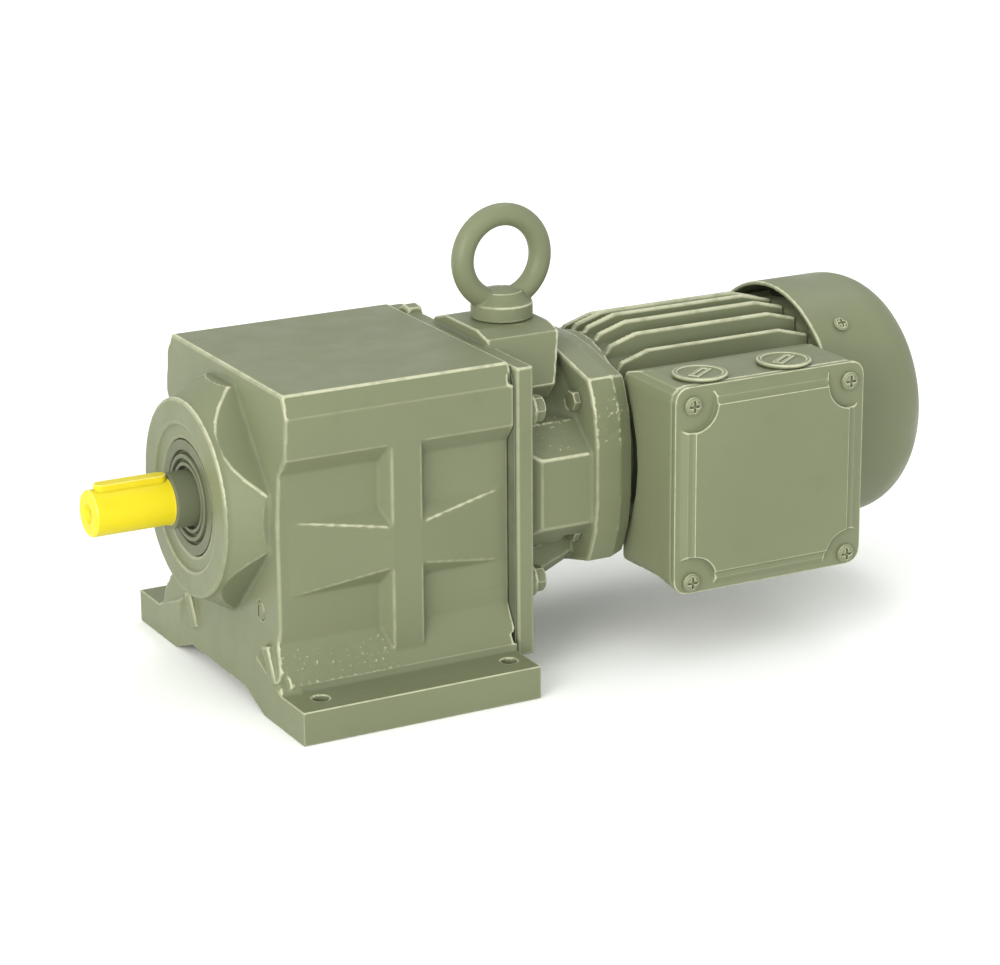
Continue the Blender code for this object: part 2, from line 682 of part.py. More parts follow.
def motor_adaptor():
    """The casting between gearbox and motor: a bolted plate, a ribbed bell and the motor's front flange."""
    plate = box((PLATE_FRONT, -76 * MM, 12 * MM), (PLATE_REAR, 76 * MM, 172 * MM))
    adaptor = part("motor_adaptor", plate, "paint")
    bell = [(75, 0), (75, 46), (92, 46), (104, 48.5), (112, 53), (117, 58.5), (121, 64), (121, 0)]
    boolean(adaptor, "UNION", turned_tool("bell", in_metres(bell), MAIN_AXIS, 28))
    add(adaptor, "top_ridge", top_ridge())
    add(adaptor, "bottom_ridge", bottom_ridge())
    for side in (-1, 1):
        band = slab(side_band_outline(side), 76 * MM, 121 * MM)
        add(adaptor, "side_band", band)
        relief = [(79.4, side * 64), (79.4, side * 80), (88, side * 80), (88, side * 70)]
        corners = [(x * MM, y * MM, z * MM) for x, y in relief for z in (70, 125)]
        cut(adaptor, "band_end", hull(corners))
    add(adaptor, "motor_flange", motor_flange())
    ear = in_metres([(48, 165), (51, 175.5), (58, 176.5), (63, 173), (66, 165)])
    add(adaptor, "far_ear", slab(ear, PLATE_FRONT + 1 * MM, PLATE_REAR))
    add(adaptor, "eye_boss", rod(19 * MM, 160 * MM, EYE_SEAT, "Z", 20), (EYE_X, 0, 0))
    for place in flange_bolt_places().values():
        add(adaptor, "bolt_boss", rod(9.5 * MM, 76 * MM, 84.5 * MM, segments=12), place)
        cut(adaptor, "bolt_clearance", rod(4.6 * MM, 68 * MM, 86 * MM, segments=8), place)
    for place in motor_bolt_places().values():
        cut(adaptor, "motor_bolt_clearance", rod(3.4 * MM, 108 * MM, 145 * MM, segments=8), place)
        cut(adaptor, "motor_bolt_spotface", rod(7 * MM, 108 * MM, 119.3 * MM, segments=12), place)
    bores = [(68, 0), (68, 17.7), (77, 17.7), (77, 12.5), (86, 12.5), (88, 36), (104, 38), (116, 42)]
    bores += [(119, 42), (119, 20), (122, 20), (122, 24), (138, 24), (138, 50), (146, 50), (146, 0)]
    boolean(adaptor, "DIFFERENCE", turned_tool("adaptor_bores", in_metres(bores), MAIN_AXIS, 24))
    cut(adaptor, "lay_bearing_pocket", rod(16.5 * MM, 60 * MM, 78.6 * MM, segments=18), LAY_AXIS)
    cut(adaptor, "eye_thread", rod(8.3 * MM, 156 * MM, 190 * MM, "Z", 14), (EYE_X, 0, 0))


def housing_gasket():
    """The sheet gasket between the housing's rear face and the adaptor plate."""
    outline = [(-75, 20), (75, 20), (75, 162.5), (70, 171), (-70, 171), (-75, 162.5)]
    sheet = slab(in_metres(outline), 68.3 * MM, 69.1 * MM)
    gasket = part("housing_gasket", sheet, "gasket")
    cut(gasket, "gasket_window", cavity())
    for place in flange_bolt_places().values():
        cut(gasket, "gasket_hole", rod(4.5 * MM, 66 * MM, 72 * MM, segments=8), place)


def hex_bolt(name, head_start, head_height, across_flats, shank_radius, shank_end, place, direction=-1):
    """A hexagon bolt along X: the head starts at head_start and the shank runs from it to shank_end."""
    corner = across_flats / math.sqrt(3)
    head_end = head_start - direction * head_height
    low, high = sorted((head_start, head_end))
    bolt = part(name, rod(corner, low, high, segments=6), "paint", place)
    low, high = sorted((head_start - direction * head_height / 2, shank_end))
    add(bolt, name + "_shank", rod(shank_radius, low, high, segments=8), place)


def flange_bolts():
    for name, place in flange_bolt_places().items():
        hex_bolt("flange_bolt_" + name, 84.8 * MM, 5.5 * MM, 13 * MM, 4 * MM, 52 * MM, place)
    for name, place in motor_bolt_places().items():
        hex_bolt("motor_bolt_" + name, 119 * MM, 4 * MM, 10 * MM, 3 * MM, 150 * MM, place, direction=1)


def eye_bolt():
    """A forged ring bolt, with its ring in the plane of the shaft."""
    collar = [(178.8, 0), (178.8, 17), (188, 17), (190, 15.5), (192, 11), (192, 0)]
    bolt = part("eye_bolt", profile_mesh(in_metres(collar)), "paint", (EYE_X, 0, 0))
    spin(bolt, 24)
    bolt.rotation_euler = (0, -math.pi / 2, 0)
    bm = bmesh.new()
    verts = [bm.verts.new((23.75 * MM + y, z, 0)) for y, z in circle(6.25 * MM, 8)]
    edges = [bm.edges.new(pair) for pair in zip(verts, verts[1:] + verts[:1])]
    bmesh.ops.spin(
        bm,
        geom=edges + verts,
        cent=(0, 0, 0),
        axis=(0, 1, 0),
        dvec=(0, 0, 0),
        angle=math.tau,
        steps=28,
        use_merge=True,
    )
    bmesh.ops.recalc_face_normals(bm, faces=bm.faces)
    add(bolt, "eye_ring", mesh_from(bm, "ring", smooth=True), (EYE_X, 0, 211.6 * MM))
    add(bolt, "eye_thread_stem", rod(8 * MM, 158 * MM, 180 * MM, "Z", 14), (EYE_X, 0, 0))


# ---------------------------------------------------------------- motor


def fin(offset, turn):
    """One cooling fin, a plate along X with a sloping front end, turned about the motor's axis."""
    crest = math.sqrt(FIN_RADIUS**2 - offset**2)
    foot = math.sqrt((FRAME_RADIUS - 2 * MM) ** 2 - offset**2)
    outline = [(150, foot), (150, crest - 13 * MM), (155, crest - 5.2 * MM), (172, crest)]
    outline += [(257, crest), (275.5, crest - 5 * MM), (275.5, foot)]
    outline = [(x * MM, z) for x, z in outline]
    plate = slab(outline, offset - FIN_THICKNESS / 2, offset + FIN_THICKNESS / 2, "XZ")
    plate.transform(Matrix.Rotation(turn, 4, "X"))
    return plate


def motor_frame():
    """The finned stator housing, with its front flange and the pad for the terminal box."""
    ring_rear = FRAME_FRONT + 8.2 * MM
    body = [(FRAME_FRONT, 0), (FRAME_FRONT, FRONT_RING_RADIUS), (ring_rear, FRONT_RING_RADIUS)]
    body += [(ring_rear, FRAME_RADIUS), (FRAME_REAR, FRAME_RADIUS), (FRAME_REAR, 0)]
    frame = turned("motor_frame", body, "paint", MAIN_AXIS, 32)
    for turn, steps_each_way in ((0, 3), (math.pi, 3), (-math.pi / 2, 2)):
        for step in range(-steps_each_way, steps_each_way + 1):
            add(frame, "fin", fin(step * FIN_PITCH, turn), MAIN_AXIS)
    low = (158 * MM, -71.6 * MM, SHAFT_HEIGHT - 30 * MM)
    add(frame, "terminal_pad", box(low, (252 * MM, -45 * MM, SHAFT_HEIGHT + 30 * MM)))
    cut(frame, "frame_bore", rod(FRAME_BORE, 140 * MM, 280 * MM, segments=24), MAIN_AXIS)
    cut(frame, "lead_hole", rod(12 * MM, -75 * MM, -40 * MM, "Y", 20), (205 * MM, 0, SHAFT_HEIGHT))
    for place in motor_bolt_places().values():
        add(frame, "frame_bolt_boss", rod(6.6 * MM, FRAME_FRONT, ring_rear, segments=12), place)
        cut(frame, "frame_bolt_hole", rod(3.3 * MM, 140 * MM, 155 * MM, segments=8), place)


def stator():
    core = ring_points(CORE_FRONT, CORE_REAR, ROTOR_RADIUS + 0.6 * MM, 50 * MM)
    turned("stator_core", core, "dark_steel", MAIN_AXIS, 24)
    for name, start, end in (("winding_front", 155, 175.6), ("winding_rear", 246.4, 266)):
        middle = (start + end) / 2
        coil = [(start, 38), (start, 45), (middle, 48.5), (end, 48.5), (end, 36), (middle, 35)]
        turned(name, in_metres(coil), "copper", MAIN_AXIS, 18)


def rear_end_shield():
    body = [(276.3, 20.2), (276.3, 60), (288, 60), (288, 30), (291, 28), (291, 10), (289, 10), (289, 20.2)]
    shield = turned("rear_end_shield", in_metres(body), "paint", MAIN_AXIS, 24)
    for angle in cowl_screw_angles():
        lug = box((280 * MM, -6 * MM, 50 * MM), (300 * MM, 6 * MM, COWL_RADIUS - COWL_WALL - 1.4 * MM))
        lug.transform(Matrix.Rotation(angle, 4, "X"))
        add(shield, "cowl_lug", lug, MAIN_AXIS)
        hole = rod(2.3 * MM, 52 * MM, 75 * MM, "Z", 8)
        hole.transform(Matrix.Rotation(angle, 4, "X") @ Matrix.Translation((COWL_SCREW_X, 0, 0)))
        cut(shield, "cowl_lug_hole", hole, MAIN_AXIS)
    washer = [(273.6, 13), (273.6, 19), (275.6, 19.5), (275.6, 13.5)]
    turned("wave_washer", in_metres(washer), "steel", MAIN_AXIS, 18)


def cowl_screw_angles():
    return [sign * angle for sign in (-1, 1) for angle in (COWL_SCREW_ANGLE, math.pi - COWL_SCREW_ANGLE)]


def fan_cowl():
    """A pressed cowl, open towards the fins, with a round shoulder and air slots in its rear face."""
    outer = [(COWL_FRONT, COWL_RADIUS)]
    inner = [(COWL_FRONT, COWL_RADIUS - COWL_WALL)]
    for i in range(7):
        angle = math.pi / 2 * i / 6
        for line, radius in ((outer, COWL_BEND), (inner, COWL_BEND - COWL_WALL)):
            x = COWL_REAR - COWL_BEND + radius * math.sin(angle)
            line.append((x, COWL_RADIUS - COWL_BEND + radius * math.cos(angle)))
    outer.append((COWL_REAR, 0))
    inner.append((COWL_REAR - COWL_WALL, 0))
    cowl = turned("fan_cowl", outer + inner[::-1], "paint", MAIN_AXIS, 32)
    for i in range(10):
        slot = box((335 * MM, -3 * MM, 17 * MM), (350 * MM, 3 * MM, 49 * MM))
        slot.transform(Matrix.Rotation(math.tau * i / 10, 4, "X"))
        cut(cowl, "air_slot", slot, MAIN_AXIS)
    for angle in cowl_screw_angles():
        hole = rod(2.6 * MM, 60 * MM, 75 * MM, "Z", 10)
        hole.transform(Matrix.Rotation(angle, 4, "X") @ Matrix.Translation((COWL_SCREW_X, 0, 0)))
        cut(cowl, "cowl_hole", hole, MAIN_AXIS)


def screw_at(name, turn, place, shank, radius):
    """A cross-recess pan-head screw. Its head sits at the place and faces along the turned X axis."""
    head = [(0, 0), (0, 1), (0.36, 0.92), (0.56, 0.55), (0.56, 0)]
    profile = [(x * radius, r * radius) for x, r in head]
    made = part(name, profile_mesh(profile), "paint", place)
    spin(made, 12)
    made.rotation_euler = turn
    stem = tool(name + "_shank", rod(2 * MM, -shank, 1 * MM, segments=6), place)
    stem.rotation_euler = turn
    boolean(made, "UNION", stem)
    for roll in (0, math.pi / 2):
        blade = box((0.25 * radius, -0.6 * radius, -0.11 * radius), (radius, 0.6 * radius, 0.11 * radius))
        blade.transform(Matrix.Rotation(roll, 4, "X"))
        slot = tool(name + "_recess", blade, place)
        slot.rotation_euler = turn
        boolean(made, "DIFFERENCE", slot)


def cowl_screws():
    names = ("upper_far", "lower_far", "upper_near", "lower_near")
    for name, angle in zip(names, cowl_screw_angles()):
        outward = Vector((0, -math.sin(angle), math.cos(angle)))
        place = MAIN_AXIS + Vector((COWL_SCREW_X, 0, 0)) + outward * (COWL_RADIUS + 0.2 * MM)
        turn = outward.to_track_quat("X", "Z").to_euler()
        screw_at("cowl_screw_" + name, turn, place, 12 * MM, 4.4 * MM)


# ---------------------------------------------------------------- terminal box


def rounded_square(inset, radius, segments=3):
    """The box's outline in the XZ plane, drawn in from the edge, with round corners."""
    points = []
    corners = ((BOX_RIGHT, BOX_BOTTOM, 1, -1), (BOX_RIGHT, BOX_TOP, 1, 1), (BOX_LEFT, BOX_TOP, -1, 1))
    corners += ((BOX_LEFT, BOX_BOTTOM, -1, -1),)
    for index, (x, z, sx, sz) in enumerate(corners):
        for i in range(segments + 1):
            angle = math.pi / 2 * (index - 1 + i / segments)
            cx = x - sx * (inset + radius)
            cz = z - sz * (inset + radius)
            points.append((cx + radius * math.cos(angle), cz + radius * math.sin(angle)))
    return points


def cover_screw_points():
    return [(x, z) for x in COVER_SCREW_X for z in COVER_SCREW_HEIGHTS]


def terminal_box_base():
    """An open box with screw posts in its corners, saddled over the motor frame and seated on its pad."""
    mouth = BOX_MOUTH / MM
    bottom, top = BOX_BOTTOM / MM, BOX_TOP / MM
    outline = [(mouth, bottom), (mouth, top), (-72, top), (-56, top - 3.7), (-56, bottom + 4.8)]
    outline += [(-92, bottom + 5.8), (-98, bottom + 4.5)]
    base = part("terminal_box_base", slab(in_metres(outline), BOX_LEFT, BOX_RIGHT), "paint")
    corners = slab(rounded_square(0.4 * MM, BOX_CORNER), BOX_MOUTH - 5 * MM, -40 * MM, "XZ")
    boolean(base, "INTERSECT", tool("box_corners", corners))
    cut(base, "saddle", rod(70.8 * MM, 140 * MM, 270 * MM, segments=30), MAIN_AXIS)
    cut(base, "pad_seat", box((154 * MM, -72 * MM, 70 * MM), (256 * MM, -50 * MM, 140 * MM)))
    low = (BOX_LEFT + BOX_WALL, -110 * MM, BOX_BOTTOM + BOX_WALL + 4 * MM)
    cut(base, "box_room", box(low, (BOX_RIGHT - BOX_WALL, -76 * MM, BOX_TOP - BOX_WALL)))
    for x, z in cover_screw_points():
        add(base, "screw_post", rod(6 * MM, BOX_MOUTH, -94 * MM, "Y", 12), (x, 0, z))
        cut(base, "post_hole", rod(2.3 * MM, -108 * MM, -97 * MM, "Y", 8), (x, 0, z))
    cut(base, "lead_opening", rod(12 * MM, -80 * MM, -65 * MM, "Y", 14), (205 * MM, 0, SHAFT_HEIGHT))
    for x in ENTRY_X:
        cut(base, "cable_entry", rod(12.4 * MM, 150 * MM, 170 * MM, "Z", 18), (x, ENTRY_Y, 0))


def box_gasket():
    """The sheet gasket on the box's mouth, with its middle cut out."""
    sheet = slab(rounded_square(0.6 * MM, BOX_CORNER), -107.3 * MM, -106.3 * MM, "XZ")
    gasket = part("box_gasket", sheet, "gasket")
    low = (BOX_LEFT + 4 * MM, -109 * MM, BOX_BOTTOM + 3.4 * MM)
    cut(gasket, "gasket_middle", box(low, (BOX_RIGHT - 4 * MM, -105 * MM, BOX_TOP - 4 * MM)))


def terminal_box_cover():
    """A square lid: a thin rim and two sloping steps up to a panel, with round recesses for its screws."""
    rim = slab(rounded_square(0, BOX_CORNER), COVER_EDGE, COVER_BACK, "XZ")
    cover = part("terminal_box_cover", rim, "paint")
    step = [(x, COVER_EDGE + 1 * MM, z) for x, z in rounded_square(1.5 * MM, 8 * MM)]
    step += [(x, -112.6 * MM, z) for x, z in rounded_square(6.8 * MM, 5 * MM)]
    panel = [(x, -112 * MM, z) for x, z in rounded_square(9.4 * MM, 5 * MM)]
    panel += [(x, COVER_FACE, z) for x, z in rounded_square(11 * MM, 4 * MM)]
    add(cover, "cover_step", hull(step))
    add(cover, "cover_panel", hull(panel))
    low = (BOX_LEFT + 20 * MM, -110 * MM, BOX_BOTTOM + 20 * MM)
    cut(cover, "cover_room", box(low, (BOX_RIGHT - 20 * MM, -100 * MM, BOX_TOP - 20 * MM)))
    for x, z in cover_screw_points():
        cut(cover, "screw_recess", rod(14.3 * MM, -120 * MM, COVER_EDGE, "Y", 20), (x, 0, z))
        cut(cover, "cover_hole", rod(2.4 * MM, -115 * MM, -100 * MM, "Y", 8), (x, 0, z))
    names = ("lower_left", "upper_left", "lower_right", "upper_right")
    for name, (x, z) in zip(names, cover_screw_points()):
        place = Vector((x, COVER_EDGE - GAP, z))
        screw_at("cover_screw_" + name, (0, 0, -math.pi / 2), place, 12 * MM, 5.2 * MM)


def blanking_plugs():
    """Screw plugs that close the two cable entries on top of the terminal box."""
    for name, x in zip(("front", "rear"), ENTRY_X):
        place = (x, ENTRY_Y, BOX_TOP)
        plug = part("blanking_plug_" + name, rod(15 * MM, GAP, 2.3 * MM, "Z", 24), "paint", place)
        add(plug, "plug_thread", rod(12 * MM, -8 * MM, 1 * MM, "Z", 14), place)
        cut(plug, "plug_dish", rod(10 * MM, 1.3 * MM, 4 * MM, "Z", 16), place)
        cut(plug, "plug_slot", box((-7 * MM, -1.4 * MM, -0.5 * MM), (7 * MM, 1.4 * MM, 5 * MM)), place)


def terminal_block():
    """The moulded block with six studs inside the terminal box."""
    low = (187 * MM, -86 * MM, 124 * MM)
    block = part("terminal_block", box(low, (223 * MM, -76.3 * MM, 150 * MM)), "plastic")
    for column in (-1, 0, 1):
        for z in (131 * MM, 143 * MM):
            add(block, "stud", rod(2 * MM, -97 * MM, -84 * MM, "Y", 6), ((205 + column * 11) * MM, 0, z))


# ---------------------------------------------------------------- assembly


def build():
    output = axis_empty("output_axis", MAIN_AXIS)
    lay = axis_empty("intermediate_axis", LAY_AXIS)
    rotor = axis_empty("rotor_axis", MAIN_AXIS)
    gear_housing()
    level_plug()
    housing_gasket()
    motor_adaptor()
    flange_bolts()
    eye_bolt()
    shaft_seal("output_seal", -86 * MM, -79.4 * MM, MAIN_AXIS, SEAL_SEAT_RADIUS, 31 * MM)
    shaft_seal("motor_seal", 70 * MM, 76.7 * MM, MAIN_AXIS, 10 * MM, 17.5 * MM)
    ball_bearing("output_front_bearing", -71 * MM, MAIN_AXIS, (15.5, 31, 15.6), output)
    ball_bearing("output_rear_bearing", -38.4 * MM, MAIN_AXIS, (12.95, 26, 15), output)
    ball_bearing("intermediate_front_bearing", -57.2 * MM, LAY_AXIS, (7.8, 16, 9), lay)
    ball_bearing("intermediate_rear_bearing", 73.6 * MM, LAY_AXIS, (7.8, 16, 9), lay)
    ball_bearing("motor_front_bearing", 130 * MM, MAIN_AXIS, (10.4, 23.5, 14), rotor)
    ball_bearing("motor_rear_bearing", 282.6 * MM, MAIN_AXIS, (8.85, 20, 12), rotor)
    output_shaft(output)
    output_wheel(output)
    lay_shaft(lay)
    rotor_shaft(rotor)
    cooling_fan(rotor)
    motor_frame()
    stator()
    rear_end_shield()
    fan_cowl()
    cowl_screws()
    terminal_box_base()
    box_gasket()
    terminal_box_cover()
    blanking_plugs()
    terminal_block()


build()
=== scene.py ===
"""How the gear motor looks: finished castings, screws and paint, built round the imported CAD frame.

Metres, in the CAD's frame: +Z up, the output shaft along -X, the terminal box on the -Y side.
"""

import math

import bmesh
import bpy
import numpy as np
from mathutils import Matrix, Vector


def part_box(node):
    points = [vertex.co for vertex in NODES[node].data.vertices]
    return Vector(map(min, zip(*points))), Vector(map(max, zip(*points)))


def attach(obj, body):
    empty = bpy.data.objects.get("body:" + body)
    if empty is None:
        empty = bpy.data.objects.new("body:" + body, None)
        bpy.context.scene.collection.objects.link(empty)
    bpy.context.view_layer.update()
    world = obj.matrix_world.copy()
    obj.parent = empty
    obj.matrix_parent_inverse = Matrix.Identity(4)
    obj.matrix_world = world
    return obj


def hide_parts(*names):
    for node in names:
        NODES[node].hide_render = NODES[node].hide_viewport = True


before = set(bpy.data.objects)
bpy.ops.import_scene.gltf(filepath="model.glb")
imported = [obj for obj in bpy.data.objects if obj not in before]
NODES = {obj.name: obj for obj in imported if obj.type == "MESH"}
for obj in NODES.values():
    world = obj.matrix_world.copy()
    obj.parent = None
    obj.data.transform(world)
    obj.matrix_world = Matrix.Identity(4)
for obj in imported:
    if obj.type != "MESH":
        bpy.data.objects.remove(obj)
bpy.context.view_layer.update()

MM = 0.001
SEED = 7
COARSENESS = 1.0
VOXEL = 0.9 * MM * COARSENESS
FINE_VOXEL = 0.5 * MM * COARSENESS
SMALL_VOXEL = 0.32 * MM * COARSENESS
SHAFT_VOXEL = 0.42 * MM * COARSENESS
SHEET_VOXEL = 0.75 * MM * COARSENESS
BOX_VOXEL = 0.8 * MM * COARSENESS
ROUGH_HEIGHT = 0.15 * MM
ROUGH_FADE = 1.5 * MM
COARSE_LUMPS = 2.2 * MM
FINE_LUMPS = 1.3 * MM

# Bodies of the CAD frame
ROOT = "gear_unit"
OUTPUT = "output_shaft_assembly"

# Main places, from the CAD nodes where a node has them
SHAFT_HEIGHT = (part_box("output_shaft")[0].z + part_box("output_shaft")[1].z) / 2
HUB_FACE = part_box("gear_housing")[0].x
FOOT_FRONT = -72 * MM
FOOT_THICKNESS = 18 * MM
HUB_RADIUS = 53.6 * MM
HUB_RECESS = 39.3 * MM
COWL_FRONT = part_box("fan_cowl")[0].x
COWL_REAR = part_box("fan_cowl")[1].x
COWL_RADIUS = 70 * MM
COWL_WALL = 2.2 * MM
COWL_BEND = 28 * MM
COWL_SCREW_X = 293.5 * MM
COWL_SCREW_ANGLE = math.radians(40)
EYE_X = (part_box("eye_bolt")[0].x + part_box("eye_bolt")[1].x) / 2
EYE_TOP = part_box("eye_bolt")[1].z
BOX_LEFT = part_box("terminal_box_cover")[0].x
BOX_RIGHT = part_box("terminal_box_cover")[1].x
BOX_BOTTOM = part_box("terminal_box_cover")[0].z
BOX_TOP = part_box("terminal_box_cover")[1].z
COVER_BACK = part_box("terminal_box_cover")[1].y
COVER_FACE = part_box("terminal_box_cover")[0].y
COVER_EDGE = COVER_BACK - 3 * MM
COVER_SCREWS = [
    f"cover_screw_{level}_{side}" for side in ("left", "right") for level in ("lower", "upper")
]
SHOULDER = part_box("output_key")[1].x + 0.5 * MM

# The slanted ribs low on the front wall: corners (y, z) in millimetres
FAR_RIB = ((44, 36), (37, 38), (25.5, 22), (32.5, 20))
NEAR_RIB = ((-57.5, 38), (-64.5, 40), (-76, 23), (-69, 21))
RIB_HEIGHT = 1.2 * MM
RIB_DEPTH = 9 * MM
RIB_LEAN = 0.05

# Boxes where the cast skin is left rough, each from its lowest to its highest corner, in millimetres
HOUSING_ROUGH = [((-68, -81, 21), (-2, -69.3, 42))]
ADAPTOR_ROUGH = [((79, -70, 118), (112, -44, 140)), ((118, -77, 122), (139, -62, 148))]

# Paint colours: the coat, a pale colour painted on edges as a highlight that also stands for wear, and a
# dark colour for random stains and for painted shade in inside corners
PAINT = ((0.153, 0.168, 0.097), (0.46, 0.46, 0.32), (0.095, 0.115, 0.075))
DARK_PAINT = ((0.105, 0.115, 0.068), (0.26, 0.27, 0.18), (0.03, 0.034, 0.024))
YELLOW = ((0.60, 0.49, 0.009), (0.66, 0.60, 0.20), (0.38, 0.24, 0.006))

# Metal colours: clean, then stained
STEEL = ((0.50, 0.51, 0.53), (0.25, 0.24, 0.23))
DARK_STEEL = ((0.20, 0.20, 0.21), (0.10, 0.09, 0.09))
COPPER = ((0.72, 0.30, 0.12), (0.40, 0.14, 0.05))

# Studio: the surrounding light falls off from behind the camera to the far side
SURROUND = (0.97, 1.0, 0.97, 1)
SURROUND_NEAR = 1.62
SURROUND_FAR = 0.8
LAMP_AIM = (0.1, 0, 0.1)
WARM_WHITE = (1.0, 0.98, 0.93)
SOFT_WHITE = (1.0, 0.99, 0.96)

# Camera
CAMERA_PLACE = (-0.711, -1.506, 0.628)
CAMERA_AZIMUTH = math.radians(-28.31)
CAMERA_ELEVATION = math.radians(17.64)
CAMERA_ROLL = math.radians(-0.41)
CAMERA_LENS = 117.0
CAMERA_SENSOR = 36


# ---------------------------------------------------------------- mesh tools


def new_object(name, mesh, place=(0, 0, 0)):
    made = bpy.data.objects.new(name, mesh)
    made.location = place
    bpy.context.scene.collection.objects.link(made)
    return made


def mesh_of(bm, name):
    mesh = bpy.data.meshes.new(name)
    bmesh.ops.recalc_face_normals(bm, faces=bm.faces)
    bm.to_mesh(mesh)
    bm.free()
    return mesh


def in_metres(points):
    return [(u * MM, v * MM) for u, v in points]


def turned_mesh(points, segments=96, matrix=Matrix()):
    """A closed solid turned about X, from points (x, radius): a ring unless both ends are on the axis."""
    bm = bmesh.new()
    rings = []
    for x, radius in points:
        if radius == 0:
            rings.append([bm.verts.new((x, 0, 0))] * segments)
        else:
            turns = [math.tau * i / segments for i in range(segments)]
            rings.append([bm.verts.new((x, radius * math.cos(t), radius * math.sin(t))) for t in turns])
    pairs = list(zip(rings, rings[1:]))
    if points[0][1] and points[-1][1]:
        pairs.append((rings[-1], rings[0]))
    for first, second in pairs:
        for i in range(segments):
            j = (i + 1) % segments
            corners = list(dict.fromkeys((first[i], first[j], second[j], second[i])))
            if len(corners) > 2:
                bm.faces.new(corners)
    bm.transform(matrix)
    return mesh_of(bm, "turned")


def on_axis(x=0.0, height=SHAFT_HEIGHT, turn=0.0):
    """The place on a shaft's axis, turned about that axis."""
    return Matrix.Translation((x, 0, height)) @ Matrix.Rotation(turn, 4, "X")


def block(low, high):
    bm = bmesh.new()
    size = [b - a for a, b in zip(low, high)]
    middle = [(a + b) / 2 for a, b in zip(low, high)]
    bmesh.ops.create_cube(bm, size=1, matrix=Matrix.Translation(middle) @ Matrix.Diagonal((*size, 1)))
    return mesh_of(bm, "block")


def hull(points):
    bm = bmesh.new()
    for point in points:
        bm.verts.new(point)
    made = bmesh.ops.convex_hull(bm, input=bm.verts)
    spare = set(made["geom_interior"] + made["geom_unused"])
    loose = [item for item in spare if isinstance(item, bmesh.types.BMVert)]
    bmesh.ops.delete(bm, geom=loose, context="VERTS")
    return mesh_of(bm, "hull")


def joined(meshes):
    bm = bmesh.new()
    for mesh in meshes:
        bm.from_mesh(mesh)
    made = bpy.data.meshes.new("joined")
    bm.to_mesh(made)
    bm.free()
    return made


def welded(node):
    """A copy of a CAD node's mesh with its split vertices merged."""
    bm = bmesh.new()
    bm.from_mesh(NODES[node].data)
    bmesh.ops.remove_doubles(bm, verts=bm.verts, dist=0.002 * MM)
    return mesh_of(bm, node + "_copy")


def moved(mesh, matrix):
    copy = mesh.copy()
    copy.transform(matrix)
    return copy


def evaluated_mesh(target):
    graph = bpy.context.evaluated_depsgraph_get()
    return bpy.data.meshes.new_from_object(target.evaluated_get(graph), depsgraph=graph)


def combined(mesh, operation, others):
    """The mesh after a Boolean with each of the others."""
    target = new_object("target", mesh)
    helpers = []
    for other in others:
        helper = new_object("helper", other)
        modifier = target.modifiers.new("cut", "BOOLEAN")
        modifier.operation = operation
        modifier.solver = "EXACT"
        modifier.object = helper
        helpers.append(helper)
    made = evaluated_mesh(target)
    for spare in (target, *helpers):
        bpy.data.objects.remove(spare)
    return made


def coordinates(mesh):
    values = np.empty(len(mesh.vertices) * 3)
    mesh.vertices.foreach_get("co", values)
    return values.reshape(-1, 3)


def vertex_normals(mesh):
    values = np.empty(len(mesh.vertices) * 3, np.float32)
    mesh.vertex_normals.foreach_get("vector", values)
    return values.reshape(-1, 3).astype(float)


def neighbour_mean(pairs, values):
    """The mean over each vertex's neighbours."""
    ends = np.concatenate([pairs[:, 0], pairs[:, 1]])
    others = np.concatenate([pairs[:, 1], pairs[:, 0]])
    number = np.bincount(ends, minlength=len(values))
    columns = values.reshape(len(values), -1)[others]
    totals = [np.bincount(ends, weights=column, minlength=len(values)) for column in columns.T]
    return (np.stack(totals, axis=1) / np.maximum(number, 1)[:, None]).reshape(values.shape)


def mark_edges(mesh):
    """Stores how sharply the skin bends: above 0 on outside edges, below 0 in inside corners."""
    points = coordinates(mesh)
    pairs = np.empty(len(mesh.edges) * 2, np.int32)
    mesh.edges.foreach_get("vertices", pairs)
    pairs = pairs.reshape(-1, 2)
    length = np.linalg.norm(points[pairs[:, 0]] - points[pairs[:, 1]], axis=1).mean()
    bend = ((points - neighbour_mean(pairs, points)) * vertex_normals(mesh)).sum(axis=1) / length
    wide = bend
    for _ in range(6):
        wide = neighbour_mean(pairs, wide)
    for name, values in (("edge", (bend + neighbour_mean(pairs, bend)) / 2), ("wide_edge", wide)):
        attribute = mesh.attributes.new(name, "FLOAT", "POINT")
        attribute.data.foreach_set("value", values.astype(np.float32))


def lumps(points, size, seed):
    """Smooth noise from -1 to 1 at each point, with lumps of about this size."""
    cell = points / size
    low = np.floor(cell).astype(np.int64)
    part = cell - low
    part = part * part * (3 - 2 * part)
    total = np.zeros(len(points))
    for corner in range(8):
        step = np.array([corner & 1, corner >> 1 & 1, corner >> 2 & 1])
        key = (low + step) @ np.array([73856093, 19349663, 83492791]) + seed * 2654435761
        key = ((key ^ (key >> 13)) * 1274126177) & 0x7FFFFFFF
        key = (key ^ (key >> 16)) & 0xFFFF
        total += np.where(step, part, 1 - part).prod(axis=1) * (key / 32767.5 - 1)
    return total


def roughen(mesh, patches):
    """Pushes the skin in and out inside each patch."""
    points = coordinates(mesh)
    share = np.zeros(len(points))
    for low, high in patches:
        inside = np.minimum(points - np.array(low) * MM, np.array(high) * MM - points).min(axis=1)
        share = np.maximum(share, np.clip(inside / ROUGH_FADE, 0, 1))
    shape = lumps(points, COARSE_LUMPS, SEED) + 0.6 * lumps(points, FINE_LUMPS, SEED + 1)
    points += vertex_normals(mesh) * (shape * share * ROUGH_HEIGHT)[:, None]
    mesh.vertices.foreach_set("co", points.ravel())
    mesh.update()


